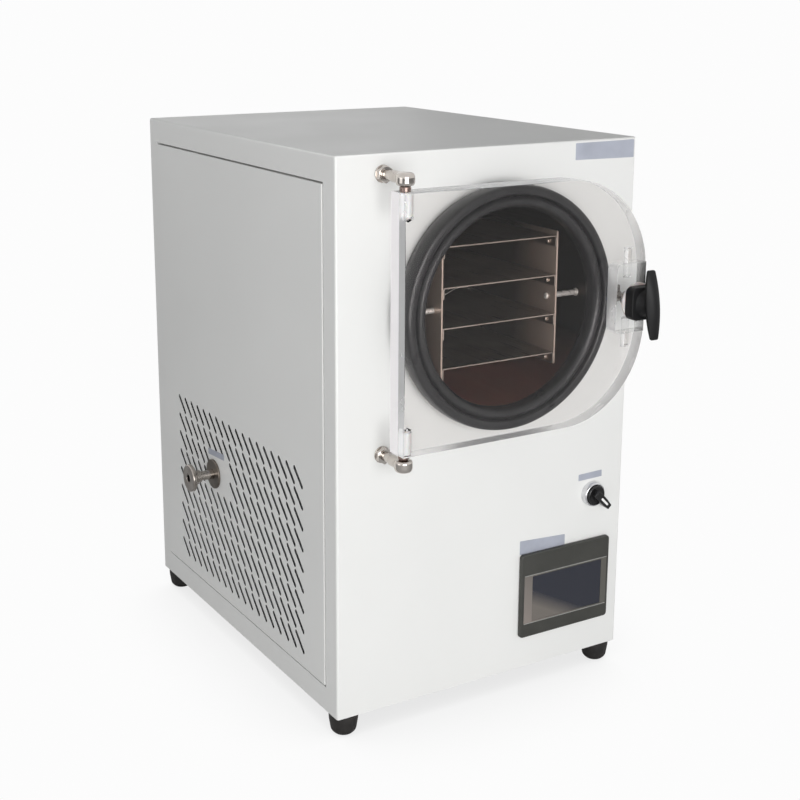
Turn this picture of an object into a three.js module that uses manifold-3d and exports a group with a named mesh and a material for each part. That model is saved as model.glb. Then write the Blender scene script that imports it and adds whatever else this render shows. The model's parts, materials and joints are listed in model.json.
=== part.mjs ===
// Bench-top freeze dryer: a folded-sheet cabinet with a round vacuum chamber behind a clear swing door.
// Millimetres, +Z up. The cabinet is drawn with x from its left side, y from its front face towards the
// rear and z from the underside of its base; the finished machine then stands centred on the origin.

import * as THREE from "three";
import { mergeVertices } from "three/addons/utils/BufferGeometryUtils.js";
import Module from "manifold-3d";

const wasm = await Module();
wasm.setup();

// ---------------------------------------------------------------- driving dimensions

// Cabinet sheet metal
const cabinetWidth = 400;
const cabinetDepth = 505;
const cabinetHeight = 635;
const sheet = 1.5;
const cabinetBend = 3;
const clearance = 0.3;
const panThickness = 2.5;
const panReveal = 1;
const panFlangeHeight = 21;

// Side panels let into the sides, their faces a little proud, with slanted vent slots
const frameFront = 26;
const frameRear = 22;
const frameBottom = 30;
const frameTop = 30;
const revealGap = 2;
const panelProud = 1;
const panelSheet = 1.5;
const panelReturn = 10.5;
const seatLip = 9;
const slotColumns = 18;
const plainSlotColumns = 9;
const slotRows = 9;
const slotPitchDepth = 19.6;
const slotPitchHeight = 25.3;
const slotRun = 20.5;
const slotWidth = 4.2;
const slotMargin = 18;

// Rear panel
const rearLip = 12;
const rearSlotLength = 88;
const rearSlotHeight = 4;
const rearSlotPitch = 24;
const rearSlotRows = 5;
const rearSlotColumns = 3;
const rearSlotFromTop = 45;
const rearScrewHead = 3.6;
const rearScrewProud = 1.6;

// Feet
const footInset = 17.5;
const footHeight = 25;
const footTopRadius = 17;
const footBottomRadius = 12;
const footStudRadius = 3;
const footStudReach = 12;

// Vacuum chamber
const chamberFromTop = 175.5;
const drumBore = 119;
const drumWall = 2;
const drumDepth = 290;
const drumNose = 14;
const drumBend = 8;
const insulationThickness = 29;
const insulationRear = 30;
const coilTurns = 3;
const coilSection = 7;
const coilStart = 30;
const coilEnd = 260;
const coilSpace = 10;
const outletDrop = 60;
const outletBore = 5;
const outletWall = 2.5;

// Rubber door gasket
const gasketOverDrum = 16.5;
const gasketSeatInset = 4.5;
const gasketLip = 7;
const gasketLipReach = 8;
const gasketRoll = 6.5;
const grooveOverDrum = 3.5;
const grooveDepth = 5.5;

// Shelf rack
const rackWidth = 156;
const rackHeight = 154;
const rackDepth = 270;
const rackProud = 4;
const rackSheet = 2;
const shelfCount = 4;
const shelfPitch = 45.1;
const shelfBottomMargin = 14;
const shelfSheet = 1.5;
const shelfFlange = 13;
const shelfScrewInset = 14;
const shelfScrewHead = 2.8;
const standoffRadius = 3.2;
const standoffFlange = 4.6;
const standoffInset = 16;
const standoffHead = 2.6;

// Clear door
const doorOverlap = 2.5;
const doorThickness = 29;
const doorStandoff = 31;
const doorCorner = 110;
const hingeBeyondGasket = 6;
const hingeEdge = 8.5;

// Ball-joint hinges
const hingeHoleRadius = 6;
const hingeHoleDepth = 28;
const hingeDrillPoint = 3;
const bushBore = 3.2;
const hingePinRadius = 3;
const hingeCollarRadius = 6;
const hingeCollarHeight = 6;
const hingeBall = 6;
const hingeDomeRadius = 10;
const hingeDomeHeight = 14;
const hingeShankRadius = 5;
const hingeSleeveRadius = 6.4;
const hingeSleeveEnd = 22;
const hingeNutAcross = 16.5;
const hingeNutHeight = 6.5;
const hingeWasherRadius = 9.5;
const hingeWasherHeight = 1.5;
const weldNutRadius = 9;
const weldNutHeight = 7;

// Quarter-turn latch
const latchBeyondGasket = 20.5;
const latchDrop = 4;
const handleInset = 13;
const latchBlockWidth = 42;
const latchBlockHeight = 81;
const latchNotchCorner = 8;
const dowelRadius = 5.3;
const dowelDepth = 17;
const dowelInset = 21;
const latchShaftRadius = 5;
const latchTailRadius = 4;
const latchCollarRadius = 9;
const latchCollarHeight = 4;
const latchWasherRadius = 22;
const latchWasherHeight = 2.4;
const camFront = 14.5;
const camThickness = 4;
const camReach = 12.5;
const camHub = 7;
const camFinger = 7;
const keeperHeight = 20;
const keeperSheet = 2;
const keeperLip = 7.7;
const keeperFoot = 28;
const handleCollarHalf = 19;
const handleCollarCorner = 8;
const handleCollarHeight = 13;
const handleNeckFoot = 16.5;
const handleNeckWaist = 14;
const handleNeckLength = 10;
const handleBarLength = 81;
const handleBarWidth = 20;
const handleBarTip = 10;
const handleBarEdge = 3;
const handleBarCrown = 5;
const handleBarLean = 4.6;

// Vacuum port on the left side
const portDepth = 321.5;
const portHeight = 195.5;
const portReach = 37;
const portTubeInside = 30;
const portTubeRadius = 6;
const portTubeWall = 1;
const portPlateRadius = 19;
const portPlateHeight = 2.5;
const portFlangeRadius = 17.5;
const portFlangeRim = 5;
const portFlangeTaper = 2.5;
const portHubRadius = 8;
const portHubLength = 9;
const portPatchShift = 15;
const portPatchHalf = 25;

// Touch screen and selector switch
const screenBezelWidth = 133;
const screenBezelHeight = 106;
const screenBezelProud = 6;
const screenBezelCorner = 5;
const screenFromRight = 86;
const screenHeight = 94.7;
const screenGlassWidth = 105;
const screenGlassHeight = 58;
const screenGlassRight = 2.3;
const screenGlassDown = 4.7;
const screenGlassThickness = 2;
const screenGlassInset = 1.2;
const screenFlange = 6;
const screenHousingDepth = 36;
const switchFromRight = 47;
const switchHeight = 206;
const switchHoleRadius = 11.2;
const switchBezelRadius = 15;
const switchBezelProud = 9;
const switchKnobRadius = 12.5;
const switchKnobProud = 12;
const switchLeverWidth = 9.5;
const switchLeverTip = 6.5;
const switchLeverReach = 22;
const switchLeverHeel = 7;
const switchLeverProud = 18.5;
const switchBodyDepth = 42;
const switchBodySize = 29;

// Vacuum line inside
const sleeveWall = 3;
const sleeveLength = 12;
const lineRun = 24;
const lineBehindDrum = 34;

// Refrigeration and electrics inside
const compressorRadius = 72;
const compressorHeight = 168;
const compressorX = 268;
const compressorY = 378;
const compressorLift = 12;
const compressorPlateWidth = 172;
const compressorPlateDepth = 112;
const compressorPlateThickness = 3;
const compressorBase = 14;
const compressorCrown = 46;
const grommetRadius = 8;
const grommetInset = 11;
const condenserX = 24;
const condenserThickness = 36;
const condenserBeforePort = 31.5;
const condenserLength = 204;
const condenserBase = 34;
const condenserHeight = 216;
const condenserLeg = 12;
const condenserLegInset = 8;
const finFrame = 6;
const finThickness = 2.4;
const finBacking = 8;
const finCount = 15;
const fanRadius = 72;
const fanGap = 4;
const fanBladeCount = 7;
const fanHubRadius = 20;
const fanMotorRadius = 24;
const fanMotorLength = 30;
const fanFrameMargin = 12;
const fanFrameRear = 39;
const fanArmWidth = 9;
const fanArmThickness = 6;
const fanHubLength = 20;
const fanBladeChord = 34;
const fanBladeThickness = 2;
const fanBladeInset = 5;
const fanShaftRadius = 3;
const drierRadius = 13;
const drierLength = 92;
const drierNeck = 10;
const drierFromCondenser = 92;
const drierLift = 42;
const suctionRadius = 4.5;
const suctionRise = 30;
const liquidRadius = 3;
const boxWidth = 92;
const boxDepth = 128;
const boxHeight = 176;
const boxFromRight = 22;
const boxFromFront = 96;
const boxFeet = 6;
const boxLidOverhang = 2;
const boxLidDepth = 14;
const inletFromRight = 70;
const inletFromBottom = 62;
const inletWidth = 48;
const inletHeight = 28;
const inletProud = 3;
const inletSocketWidth = 25;
const inletSocketHeight = 17;
const inletSocketDepth = 16;
const inletBladeInset = 6;

// Facets round the chamber; every ring that fits another has the same number
const ringSegments = 44;

// ---------------------------------------------------------------- places worked out from them

const shellBottom = panReveal;
const chamberX = cabinetWidth / 2;
const chamberHeight = cabinetHeight - chamberFromTop;
const drumOuter = drumBore + drumWall;
const insulationRadius = drumOuter + insulationThickness;
const gasketRadius = drumOuter + gasketOverDrum;
const gasketMouth = drumBore - gasketLip;
const grooveRadius = drumOuter + grooveOverDrum;
const beadRadius = (gasketMouth + grooveRadius) / 2;
const doorMiddle = doorStandoff + doorThickness / 2;
const doorFront = doorStandoff + doorThickness;
const doorBottom = chamberHeight - gasketRadius - doorOverlap;
const doorTop = chamberHeight + gasketRadius + doorOverlap;
const hingeX = chamberX - gasketRadius - hingeBeyondGasket;
const doorLeft = hingeX - hingeEdge;
const handleX = chamberX + gasketRadius + latchBeyondGasket;
const doorRight = handleX + handleInset;
const latchHeight = chamberHeight - latchDrop;
const latchBlockLeft = doorRight - latchBlockWidth;
const dowelX = doorRight - dowelInset;
const screenX = cabinetWidth - screenFromRight;
const switchX = cabinetWidth - switchFromRight;
const panelRear = cabinetDepth - 2 - clearance - panelSheet;
const rackBottom = chamberHeight - rackHeight / 2;
const outletHeight = chamberHeight - outletDrop;
const condenserFront = portDepth - condenserBeforePort - condenserLength;

// ---------------------------------------------------------------- geometry helpers

const upright = new THREE.Matrix4().makeBasis(
  new THREE.Vector3(1, 0, 0),
  new THREE.Vector3(0, 0, 1),
  new THREE.Vector3(0, -1, 0),
);
const sideways = new THREE.Matrix4().makeBasis(
  new THREE.Vector3(0, 1, 0),
  new THREE.Vector3(0, 0, 1),
  new THREE.Vector3(1, 0, 0),
);

/** The closed solid of a three.js geometry, with its faces turned outwards. */
function solid(geometry) {
  const bare = geometry.index ? geometry.toNonIndexed() : geometry.clone();
  bare.deleteAttribute("normal");
  bare.deleteAttribute("uv");
  const merged = mergeVertices(bare, 1e-4);
  const places = merged.attributes.position;
  const corner = [0, 1, 2].map(() => new THREE.Vector3());
  const triangles = [];
  let volume = 0;
  for (let i = 0; i < merged.index.count; i += 3) {
    const [a, b, c] = [0, 1, 2].map((step) => merged.index.getX(i + step));
    if (a === b || b === c || c === a) {
      continue;
    }
    [a, b, c].forEach((vertex, step) => corner[step].fromBufferAttribute(places, vertex));
    volume += corner[0].dot(corner[1].clone().cross(corner[2]));
    triangles.push([a, b, c]);
  }
  const facing = volume > 0 ? triangles : triangles.map(([a, b, c]) => [a, c, b]);
  return new wasm.Manifold(new wasm.Mesh({
    numProp: 3,
    vertProperties: new Float32Array(places.array),
    triVerts: new Uint32Array(facing.flat()),
  }));
}

/** All the solids joined into one. */
function join(...pieces) {
  return pieces.reduce((whole, piece) => whole.add(piece));
}

/** The first solid with all the others taken out of it. */
function cut(base, ...tools) {
  return tools.reduce((rest, tool) => rest.subtract(tool), base);
}

/** A box between two corners. */
function block([x0, y0, z0], [x1, y1, z1]) {
  const geometry = new THREE.BoxGeometry(x1 - x0, y1 - y0, z1 - z0);
  return solid(geometry.translate((x0 + x1) / 2, (y0 + y1) / 2, (z0 + z1) / 2));
}

/** A flat outline, or a list of them, drawn in (x, y) and raised from z0 to z1. */
function alongZ(outline, z0, z1, curveSegments = 6) {
  const geometry = new THREE.ExtrudeGeometry(outline, { depth: z1 - z0, bevelEnabled: false, curveSegments });
  return solid(geometry.translate(0, 0, z0));
}

/** An outline drawn in (x, z) and carried from y0 back to y1. */
function alongY(outline, y0, y1, curveSegments = 6) {
  const geometry = new THREE.ExtrudeGeometry(outline, { depth: y1 - y0, bevelEnabled: false, curveSegments });
  return solid(geometry.applyMatrix4(upright).translate(0, y1, 0));
}

/** An outline drawn in (y, z) and carried from x0 to x1. */
function alongX(outline, x0, x1, curveSegments = 6) {
  const geometry = new THREE.ExtrudeGeometry(outline, { depth: x1 - x0, bevelEnabled: false, curveSegments });
  return solid(geometry.applyMatrix4(sideways).translate(x0, 0, 0));
}

/** A rectangle with round corners; its two limits are opposite corners. */
function roundedBox([a0, b0], [a1, b1], radius) {
  const outline = new THREE.Shape();
  outline.moveTo(a0 + radius, b0);
  outline.lineTo(a1 - radius, b0);
  outline.absarc(a1 - radius, b0 + radius, radius, -Math.PI / 2, 0);
  outline.lineTo(a1, b1 - radius);
  outline.absarc(a1 - radius, b1 - radius, radius, 0, Math.PI / 2);
  outline.lineTo(a0 + radius, b1);
  outline.absarc(a0 + radius, b1 - radius, radius, Math.PI / 2, Math.PI);
  outline.lineTo(a0, b0 + radius);
  outline.absarc(a0 + radius, b0 + radius, radius, Math.PI, 1.5 * Math.PI);
  return outline;
}

/** A turned solid: its profile holds [radius, height] points along the named axis through a place. */
function turned(profile, axis, place, segments = 24) {
  const points = profile.map(([radius, height]) => new THREE.Vector2(radius, height));
  const geometry = new THREE.LatheGeometry(points, segments);
  if (axis === "z") {
    geometry.rotateX(Math.PI / 2);
  } else if (axis === "x") {
    geometry.rotateZ(-Math.PI / 2);
  }
  return solid(geometry.translate(...place));
}

/** A plain round rod along an axis, from one height to another. */
function rod(radius, from, to, axis, place, segments = 24) {
  return turned([[0, from], [radius, from], [radius, to], [0, to]], axis, place, segments);
}

/** A round tube along an axis, open at both ends. */
function pipe(outer, inner, from, to, axis, place, segments = 24) {
  const section = [[inner, from], [outer, from], [outer, to], [inner, to], [inner, from]];
  return turned(section, axis, place, segments);
}

/** A hexagon across flats, drawn about a centre. */
function hexagon(acrossFlats, [a, b]) {
  const reach = acrossFlats / Math.sqrt(3);
  const corners = [0, 1, 2, 3, 4, 5].map((step) => {
    const turn = (step * Math.PI) / 3;
    return new THREE.Vector2(a + reach * Math.cos(turn), b + reach * Math.sin(turn));
  });
  return new THREE.Shape(corners);
}

/** A section carried along a smooth curve through points. */
function swept(points, radius, sides, steps, bore = 0) {
  const places = points.map((point) => new THREE.Vector3(...point));
  const path = new THREE.CatmullRomCurve3(places, false, "centripetal");
  const ring = (size) => Array.from({ length: sides }, (_, side) => {
    const turn = (2 * Math.PI * side) / sides;
    return new THREE.Vector2(size * Math.cos(turn), size * Math.sin(turn));
  });
  const section = new THREE.Shape(ring(radius));
  if (bore > 0) {
    section.holes.push(new THREE.Path(ring(bore)));
  }
  return solid(new THREE.ExtrudeGeometry(section, { steps, extrudePath: path }));
}

// ---------------------------------------------------------------- finishes

const finishes = {
  paint: { color: 0xeeeeee, roughness: 0.42, metalness: 0 },
  rubber: { color: 0x2c2c2e, roughness: 0.62, metalness: 0 },
  stainless: { color: 0xb9b4ac, roughness: 0.28, metalness: 1 },
  darkSteel: { color: 0x6a6663, roughness: 0.34, metalness: 1 },
  acrylic: { color: 0xf2f5f5, roughness: 0.04, metalness: 0, transparent: true, opacity: 0.25 },
  nylon: { color: 0xe9dfdc, roughness: 0.4, metalness: 0 },
  blackPlastic: { color: 0x19191a, roughness: 0.38, metalness: 0 },
  greyPlastic: { color: 0x55574f, roughness: 0.45, metalness: 0 },
  glass: { color: 0x3b4152, roughness: 0.1, metalness: 0 },
  foam: { color: 0xd9cfa8, roughness: 0.9, metalness: 0 },
  copper: { color: 0xb0683f, roughness: 0.35, metalness: 1 },
  aluminium: { color: 0xc4c6c8, roughness: 0.4, metalness: 1 },
};

const cabinet = new THREE.Group();

/** Adds one named piece to the cabinet's frame. */
function piece(name, form, finish) {
  const { vertProperties, triVerts } = form.getMesh();
  const geometry = new THREE.BufferGeometry();
  geometry.setAttribute("position", new THREE.BufferAttribute(new Float32Array(vertProperties), 3));
  geometry.setIndex(new THREE.BufferAttribute(new Uint32Array(triVerts), 1));
  geometry.computeVertexNormals();
  const mesh = new THREE.Mesh(geometry, new THREE.MeshStandardMaterial(finishes[finish]));
  mesh.name = name;
  cabinet.add(mesh);
  return mesh;
}

// ---------------------------------------------------------------- cabinet

/** Front face, top and side frames folded and welded as one shell, open below and behind. */
function cabinetShell() {
  const deep = cabinetDepth + cabinetBend;
  const plan = roundedBox([0, 0], [cabinetWidth, deep + cabinetBend], cabinetBend);
  const profile = roundedBox([0, -deep], [deep + cabinetBend, cabinetHeight], cabinetBend);
  const front = roundedBox([0, -deep], [cabinetWidth, cabinetHeight], cabinetBend);
  const outside = alongZ(plan, shellBottom, cabinetHeight, 3)
    .intersect(alongX(profile, -1, cabinetWidth + 1, 3))
    .intersect(alongY(front, -1, cabinetDepth, 3));
  const inside = block([sheet, sheet, -1], [cabinetWidth - sheet, cabinetDepth + 1, cabinetHeight - sheet]);
  let shell = cut(outside, inside);

  const [y0, y1] = [frameFront, cabinetDepth - frameRear];
  const [z0, z1] = [frameBottom, cabinetHeight - frameTop];
  const seat = panelReturn + clearance - panelProud;
  for (const [edge, inward] of [[0, 1], [cabinetWidth, -1]]) {
    const across = (near, far) => [edge + inward * near, edge + inward * far].sort((a, b) => a - b);
    const [f0, f1] = across(sheet / 2, seat + sheet);
    const [o0, o1] = across(-1, seat);
    const [l0, l1] = across(seat - 1, seat + sheet + 1);
    shell = join(shell, block([f0, y0 - sheet, z0 - sheet], [f1, y1 + sheet, z1 + sheet]));
    shell = cut(
      shell,
      block([o0, y0, z0], [o1, y1, z1]),
      block([l0, y0 + seatLip, z0 + seatLip], [l1, y1 - seatLip, z1 - seatLip]),
    );
  }

  const rearSeat = panelRear - clearance;
  const rearFrame = cut(
    block(
      [sheet / 2, rearSeat - sheet, shellBottom],
      [cabinetWidth - sheet / 2, rearSeat, cabinetHeight - sheet / 2],
    ),
    block(
      [sheet + rearLip, rearSeat - sheet - 1, shellBottom + rearLip],
      [cabinetWidth - sheet - rearLip, rearSeat + 1, cabinetHeight - sheet - rearLip],
    ),
  );
  shell = join(shell, rearFrame);

  for (const height of hingeHeights()) {
    const place = [hingeX, 0, height];
    shell = join(shell, rod(weldNutRadius, sheet / 2, sheet + weldNutHeight, "y", place, 12));
    shell = cut(shell, rod(hingeShankRadius + clearance, -1, sheet + weldNutHeight + 1, "y", place, 16));
  }
  const halfWidth = screenBezelWidth / 2 - screenFlange;
  const halfHeight = screenBezelHeight / 2 - screenFlange;
  return cut(
    shell,
    rod(drumOuter + clearance, -1, sheet + 1, "y", [chamberX, 0, chamberHeight], ringSegments),
    rod(switchHoleRadius, -1, sheet + 1, "y", [switchX, 0, switchHeight], 24),
    block(
      [screenX - halfWidth, -1, screenHeight - halfHeight],
      [screenX + halfWidth, sheet + 1, screenHeight + halfHeight],
    ),
  );
}

/** Heights of the two hinge shanks, one above the door and one below it. */
function hingeHeights() {
  const offset = clearance + hingeCollarHeight + clearance + hingeDomeHeight / 2;
  return [doorTop + offset, doorBottom - offset];
}

/** Floor of the cabinet: a shallow tray let up into the shell, whose underside shows a little below it. */
function basePan() {
  const out = sheet + clearance;
  const rear = panelRear - 2 * clearance - sheet;
  const tray = cut(
    block([out, out, 0], [cabinetWidth - out, rear, panThickness + panFlangeHeight]),
    block(
      [out + sheet, out + sheet, panThickness],
      [cabinetWidth - out - sheet, rear - sheet, panThickness + panFlangeHeight + 1],
    ),
  );
  const holes = footPlaces().map(({ x, y }) => (
    rod(footStudRadius + clearance, -1, panThickness + 1, "z", [x, y, 0], 12)
  ));
  return cut(tray, ...holes);
}

/** Centres of the four feet on the underside. */
function footPlaces() {
  const [near, far] = [footInset, cabinetDepth - footInset];
  const [left, right] = [footInset, cabinetWidth - footInset];
  return [
    { name: "foot_front_left", x: left, y: near },
    { name: "foot_front_right", x: right, y: near },
    { name: "foot_rear_left", x: left, y: far },
    { name: "foot_rear_right", x: right, y: far },
  ];
}

/** Tapered rubber foot moulded on its mounting stud, which reaches up through the base pan. */
function foot({ x, y }) {
  const profile = [
    [0, -footHeight],
    [footBottomRadius - 0.6, -footHeight],
    [footBottomRadius, -footHeight + 0.6],
    [footTopRadius, -clearance - 2],
    [footTopRadius, -clearance],
    [footStudRadius, -clearance],
    [footStudRadius, footStudReach],
    [0, footStudReach],
  ];
  return turned(profile, "z", [x, y, 0], 18);
}

/** Slanted vent slots of a side panel, about the panel's middle; a patch round the port stays plain. */
function ventSlots(panelHalfHeight, columns, ported) {
  const half = slotRun / 2;
  const thick = slotWidth / 2 / Math.SQRT2;
  const middle = (frameFront + cabinetDepth - frameRear) / 2;
  const centre = (frameBottom + cabinetHeight - frameTop) / 2;
  const outlines = [];
  for (let row = 0; row < slotRows; row += 1) {
    for (let column = 0; column < columns; column += 1) {
      const y = (column - (columns - 1) / 2) * slotPitchDepth;
      const z = -panelHalfHeight + slotMargin + half + row * slotPitchHeight;
      const fromPort = [Math.abs(y + middle - portDepth + portPatchShift), Math.abs(z + centre - portHeight)];
      if (ported && Math.max(...fromPort) < portPatchHalf) {
        continue;
      }
      outlines.push(new THREE.Shape([
        new THREE.Vector2(y + half - thick, z + half + thick),
        new THREE.Vector2(y - half - thick, z - half + thick),
        new THREE.Vector2(y - half + thick, z - half - thick),
        new THREE.Vector2(y + half + thick, z + half - thick),
      ]));
    }
  }
  return alongX(outlines, -1, panelSheet + 1);
}

/** Side panel folded as a shallow tray, drawn about its own middle with its face towards -x. */
function sidePanel(ported) {
  const halfDepth = (cabinetDepth - frameFront - frameRear) / 2 - revealGap;
  const halfHeight = (cabinetHeight - frameBottom - frameTop) / 2 - revealGap;
  const tray = cut(
    block([0, -halfDepth, -halfHeight], [panelReturn, halfDepth, halfHeight]),
    block(
      [panelSheet, panelSheet - halfDepth, panelSheet - halfHeight],
      [panelReturn + 1, halfDepth - panelSheet, halfHeight - panelSheet],
    ),
    ventSlots(halfHeight, ported ? slotColumns : plainSlotColumns, ported),
  );
  if (!ported) {
    return tray;
  }
  const y = portDepth - (frameFront + cabinetDepth - frameRear) / 2;
  const z = portHeight - (frameBottom + cabinetHeight - frameTop) / 2;
  return cut(tray, rod(portTubeRadius + clearance, -1, panelSheet + 1, "x", [0, y, z], 16));
}

/** Stands a side panel in its opening; the right one is the same folding turned about. */
function placeSidePanel(mesh, isRight) {
  const y = (frameFront + cabinetDepth - frameRear) / 2;
  const z = (frameBottom + cabinetHeight - frameTop) / 2;
  mesh.position.set(isRight ? cabinetWidth + panelProud : -panelProud, y, z);
  mesh.rotation.z = isRight ? Math.PI : 0;
}

/** Rear panel seated inside the shell, with rows of vents, its screws and the power inlet's cut-out. */
function rearPanel() {
  const gap = sheet + 2 * clearance;
  const plate = block(
    [gap, panelRear, shellBottom + clearance],
    [cabinetWidth - gap, panelRear + panelSheet, cabinetHeight - gap],
  );
  const slots = [];
  const spread = (cabinetWidth - 2 * (sheet + rearLip)) / rearSlotColumns;
  for (let column = 0; column < rearSlotColumns; column += 1) {
    const x = sheet + rearLip + (column + 0.5) * spread;
    for (let row = 0; row < rearSlotRows; row += 1) {
      for (const top of [cabinetHeight, cabinetHeight / 2]) {
        const z = top - rearSlotFromTop - row * rearSlotPitch;
        slots.push(new THREE.Shape([
          new THREE.Vector2(x - rearSlotLength / 2, z - rearSlotHeight / 2),
          new THREE.Vector2(x + rearSlotLength / 2, z - rearSlotHeight / 2),
          new THREE.Vector2(x + rearSlotLength / 2, z + rearSlotHeight / 2),
          new THREE.Vector2(x - rearSlotLength / 2, z + rearSlotHeight / 2),
        ]));
      }
    }
  }
  const inset = sheet + rearLip / 2;
  const heads = [];
  for (const x of [inset, cabinetWidth - inset]) {
    for (const z of [shellBottom + rearLip / 2, cabinetHeight / 2, cabinetHeight - inset]) {
      const face = panelRear + panelSheet;
      heads.push(turned([
        [0, face - 0.4],
        [rearScrewHead, face - 0.4],
        [rearScrewHead, face + 0.6],
        [rearScrewHead - rearScrewProud, face + rearScrewProud],
        [0, face + rearScrewProud],
      ], "y", [x, 0, z], 8));
    }
  }
  const { x, z } = inletPlace();
  const halfWidth = inletSocketWidth / 2 + 3;
  const halfHeight = inletSocketHeight / 2 + 3;
  return cut(
    join(plate, ...heads),
    alongY(slots, panelRear - 1, panelRear + panelSheet + 1),
    block(
      [x - halfWidth, panelRear - 1, z - halfHeight],
      [x + halfWidth, panelRear + panelSheet + 1, z + halfHeight],
    ),
  );
}

/** Middle of the power inlet on the rear panel. */
function inletPlace() {
  return { x: cabinetWidth - inletFromRight, z: inletFromBottom };
}

// ---------------------------------------------------------------- chamber

/** Stainless vacuum drum: a cup whose mouth stands out of the front face, with its outlet stub behind. */
function chamberDrum() {
  const rear = drumDepth;
  const cup = turned([
    [0, rear - drumWall],
    [drumBore - drumBend, rear - drumWall],
    [drumBore, rear - drumWall - drumBend],
    [drumBore, -drumNose],
    [drumOuter, -drumNose],
    [drumOuter, rear - drumBend],
    [drumOuter - drumBend, rear],
    [0, rear],
  ], "y", [chamberX, 0, chamberHeight], ringSegments);
  const place = [chamberX, 0, outletHeight];
  const end = rear + insulationRear;
  const stub = rod(outletBore + outletWall, rear - drumWall / 2, end, "y", place, 16);
  return cut(join(cup, stub), rod(outletBore, rear - drumWall - 1, end + 1, "y", place, 16));
}

/** Moulded rubber ring pushed over the drum's mouth: a fat outer roll, a groove, a raised bead and a lip. */
function chamberGasket() {
  const front = doorStandoff - clearance;
  const section = new THREE.Shape();
  section.moveTo(gasketRadius - gasketSeatInset, clearance);
  section.lineTo(gasketRadius, drumNose - 2);
  section.lineTo(gasketRadius, front - 1.4 * gasketRoll);
  section.quadraticCurveTo(gasketRadius - 0.5, front, gasketRadius - gasketRoll, front);
  section.lineTo(grooveRadius + 2, front - 1.2);
  section.lineTo(grooveRadius, front - grooveDepth);
  section.lineTo(grooveRadius - 2.5, front - 1.4);
  section.quadraticCurveTo(beadRadius, front + 1.4, gasketMouth + 1.2, front - grooveDepth / 2);
  section.lineTo(gasketMouth, front - gasketRoll);
  section.lineTo(gasketMouth, drumNose);
  section.lineTo(drumBore - clearance, drumNose - gasketLipReach);
  section.lineTo(drumBore - clearance, drumNose + clearance);
  section.lineTo(drumOuter + clearance, drumNose + clearance);
  section.lineTo(drumOuter + clearance, clearance);
  const points = section.getPoints(2).map(({ x, y }) => [x, -y]);
  return turned([...points, points[0]], "y", [chamberX, 0, chamberHeight], ringSegments);
}

/** Foamed jacket round the drum, with room for the cooling coil and a hole for each pipe. */
function drumInsulation() {
  const bore = drumOuter + clearance;
  const cavity = coilRadius() + coilSection / 2 + 1;
  const floor = drumDepth + clearance;
  const rear = drumDepth + insulationRear;
  const front = sheet + 2;
  const jacket = turned([
    [0, floor],
    [bore, floor],
    [bore, coilEnd + coilSpace],
    [cavity, coilEnd + coilSpace],
    [cavity, coilStart - coilSpace],
    [bore, coilStart - coilSpace],
    [bore, front],
    [insulationRadius, front],
    [insulationRadius, rear],
    [0, rear],
  ], "y", [chamberX, 0, chamberHeight], ringSegments);
  const [low, high] = [chamberHeight - insulationRadius - 5, chamberHeight - bore];
  return cut(
    jacket,
    rod(outletBore + outletWall + clearance, floor - 1, rear + 1, "y", [chamberX, 0, outletHeight], 16),
    rod(suctionRadius + clearance, low, high, "z", [chamberX, coilStart, 0], 12),
    rod(liquidRadius + clearance, low, high, "z", [chamberX, coilEnd, 0], 12),
  );
}

/** Radius of the cooling coil's centre line round the drum. */
function coilRadius() {
  return drumOuter + coilSection / 2 + 2;
}

/** Square cooling tube wound round the drum, starting and ending underneath it. */
function evaporatorCoil() {
  const stepsPerTurn = 24;
  const points = [];
  for (let step = 0; step <= coilTurns * stepsPerTurn; step += 1) {
    const turn = (2 * Math.PI * step) / stepsPerTurn - Math.PI / 2;
    const share = step / (coilTurns * stepsPerTurn);
    points.push([
      chamberX + coilRadius() * Math.cos(turn),
      coilStart + (coilEnd - coilStart) * share,
      chamberHeight + coilRadius() * Math.sin(turn),
    ]);
  }
  return swept(points, (coilSection / 2) * 0.98, 4, coilTurns * stepsPerTurn);
}

// ---------------------------------------------------------------- shelf rack

/** Side plate of the rack: a plain stainless plate with holes for its standoffs and shelf screws. */
function rackPlate(side) {
  const inner = chamberX + side * (rackWidth / 2 - rackSheet);
  const outer = chamberX + side * (rackWidth / 2);
  const [x0, x1] = [inner, outer].sort((a, b) => a - b);
  const plate = block([x0, -rackProud, rackBottom], [x1, rackDepth - rackProud, rackBottom + rackHeight]);
  const holes = standoffDepths().map((y) => (
    rod(2.3, x0 - 1, x1 + 1, "x", [0, y, chamberHeight], 8)
  ));
  return cut(plate, ...holes);
}

/** Depths of the front and rear standoffs. */
function standoffDepths() {
  return [standoffInset - rackProud, rackDepth - rackProud - standoffInset];
}

/** Height of a shelf's upper face, counted from the lowest shelf. */
function shelfHeight(number) {
  return rackBottom + shelfBottomMargin + number * shelfPitch;
}

/** Heated shelf with a flange folded down at each side and its screws standing in the flanges. */
function shelf(number) {
  const half = rackWidth / 2 - rackSheet - clearance;
  const top = shelfHeight(number);
  const [y0, y1] = [-rackProud, rackDepth - rackProud];
  const folded = cut(
    block([chamberX - half, y0, top - shelfFlange], [chamberX + half, y1, top]),
    block(
      [chamberX - half + shelfSheet, y0 - 1, top - shelfFlange - 1],
      [chamberX + half - shelfSheet, y1 + 1, top - shelfSheet],
    ),
  );
  const screws = [];
  for (const side of [-1, 1]) {
    for (const y of [y0 + shelfScrewInset, y1 - shelfScrewInset]) {
      const face = half - shelfSheet;
      const from = chamberX + side * (face + shelfSheet / 2);
      const to = chamberX + side * (face - 2.4);
      screws.push(rod(
        shelfScrewHead, Math.min(from, to), Math.max(from, to), "x", [0, y, top - shelfFlange * 0.62], 8,
      ));
    }
  }
  return join(folded, ...screws);
}

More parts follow.
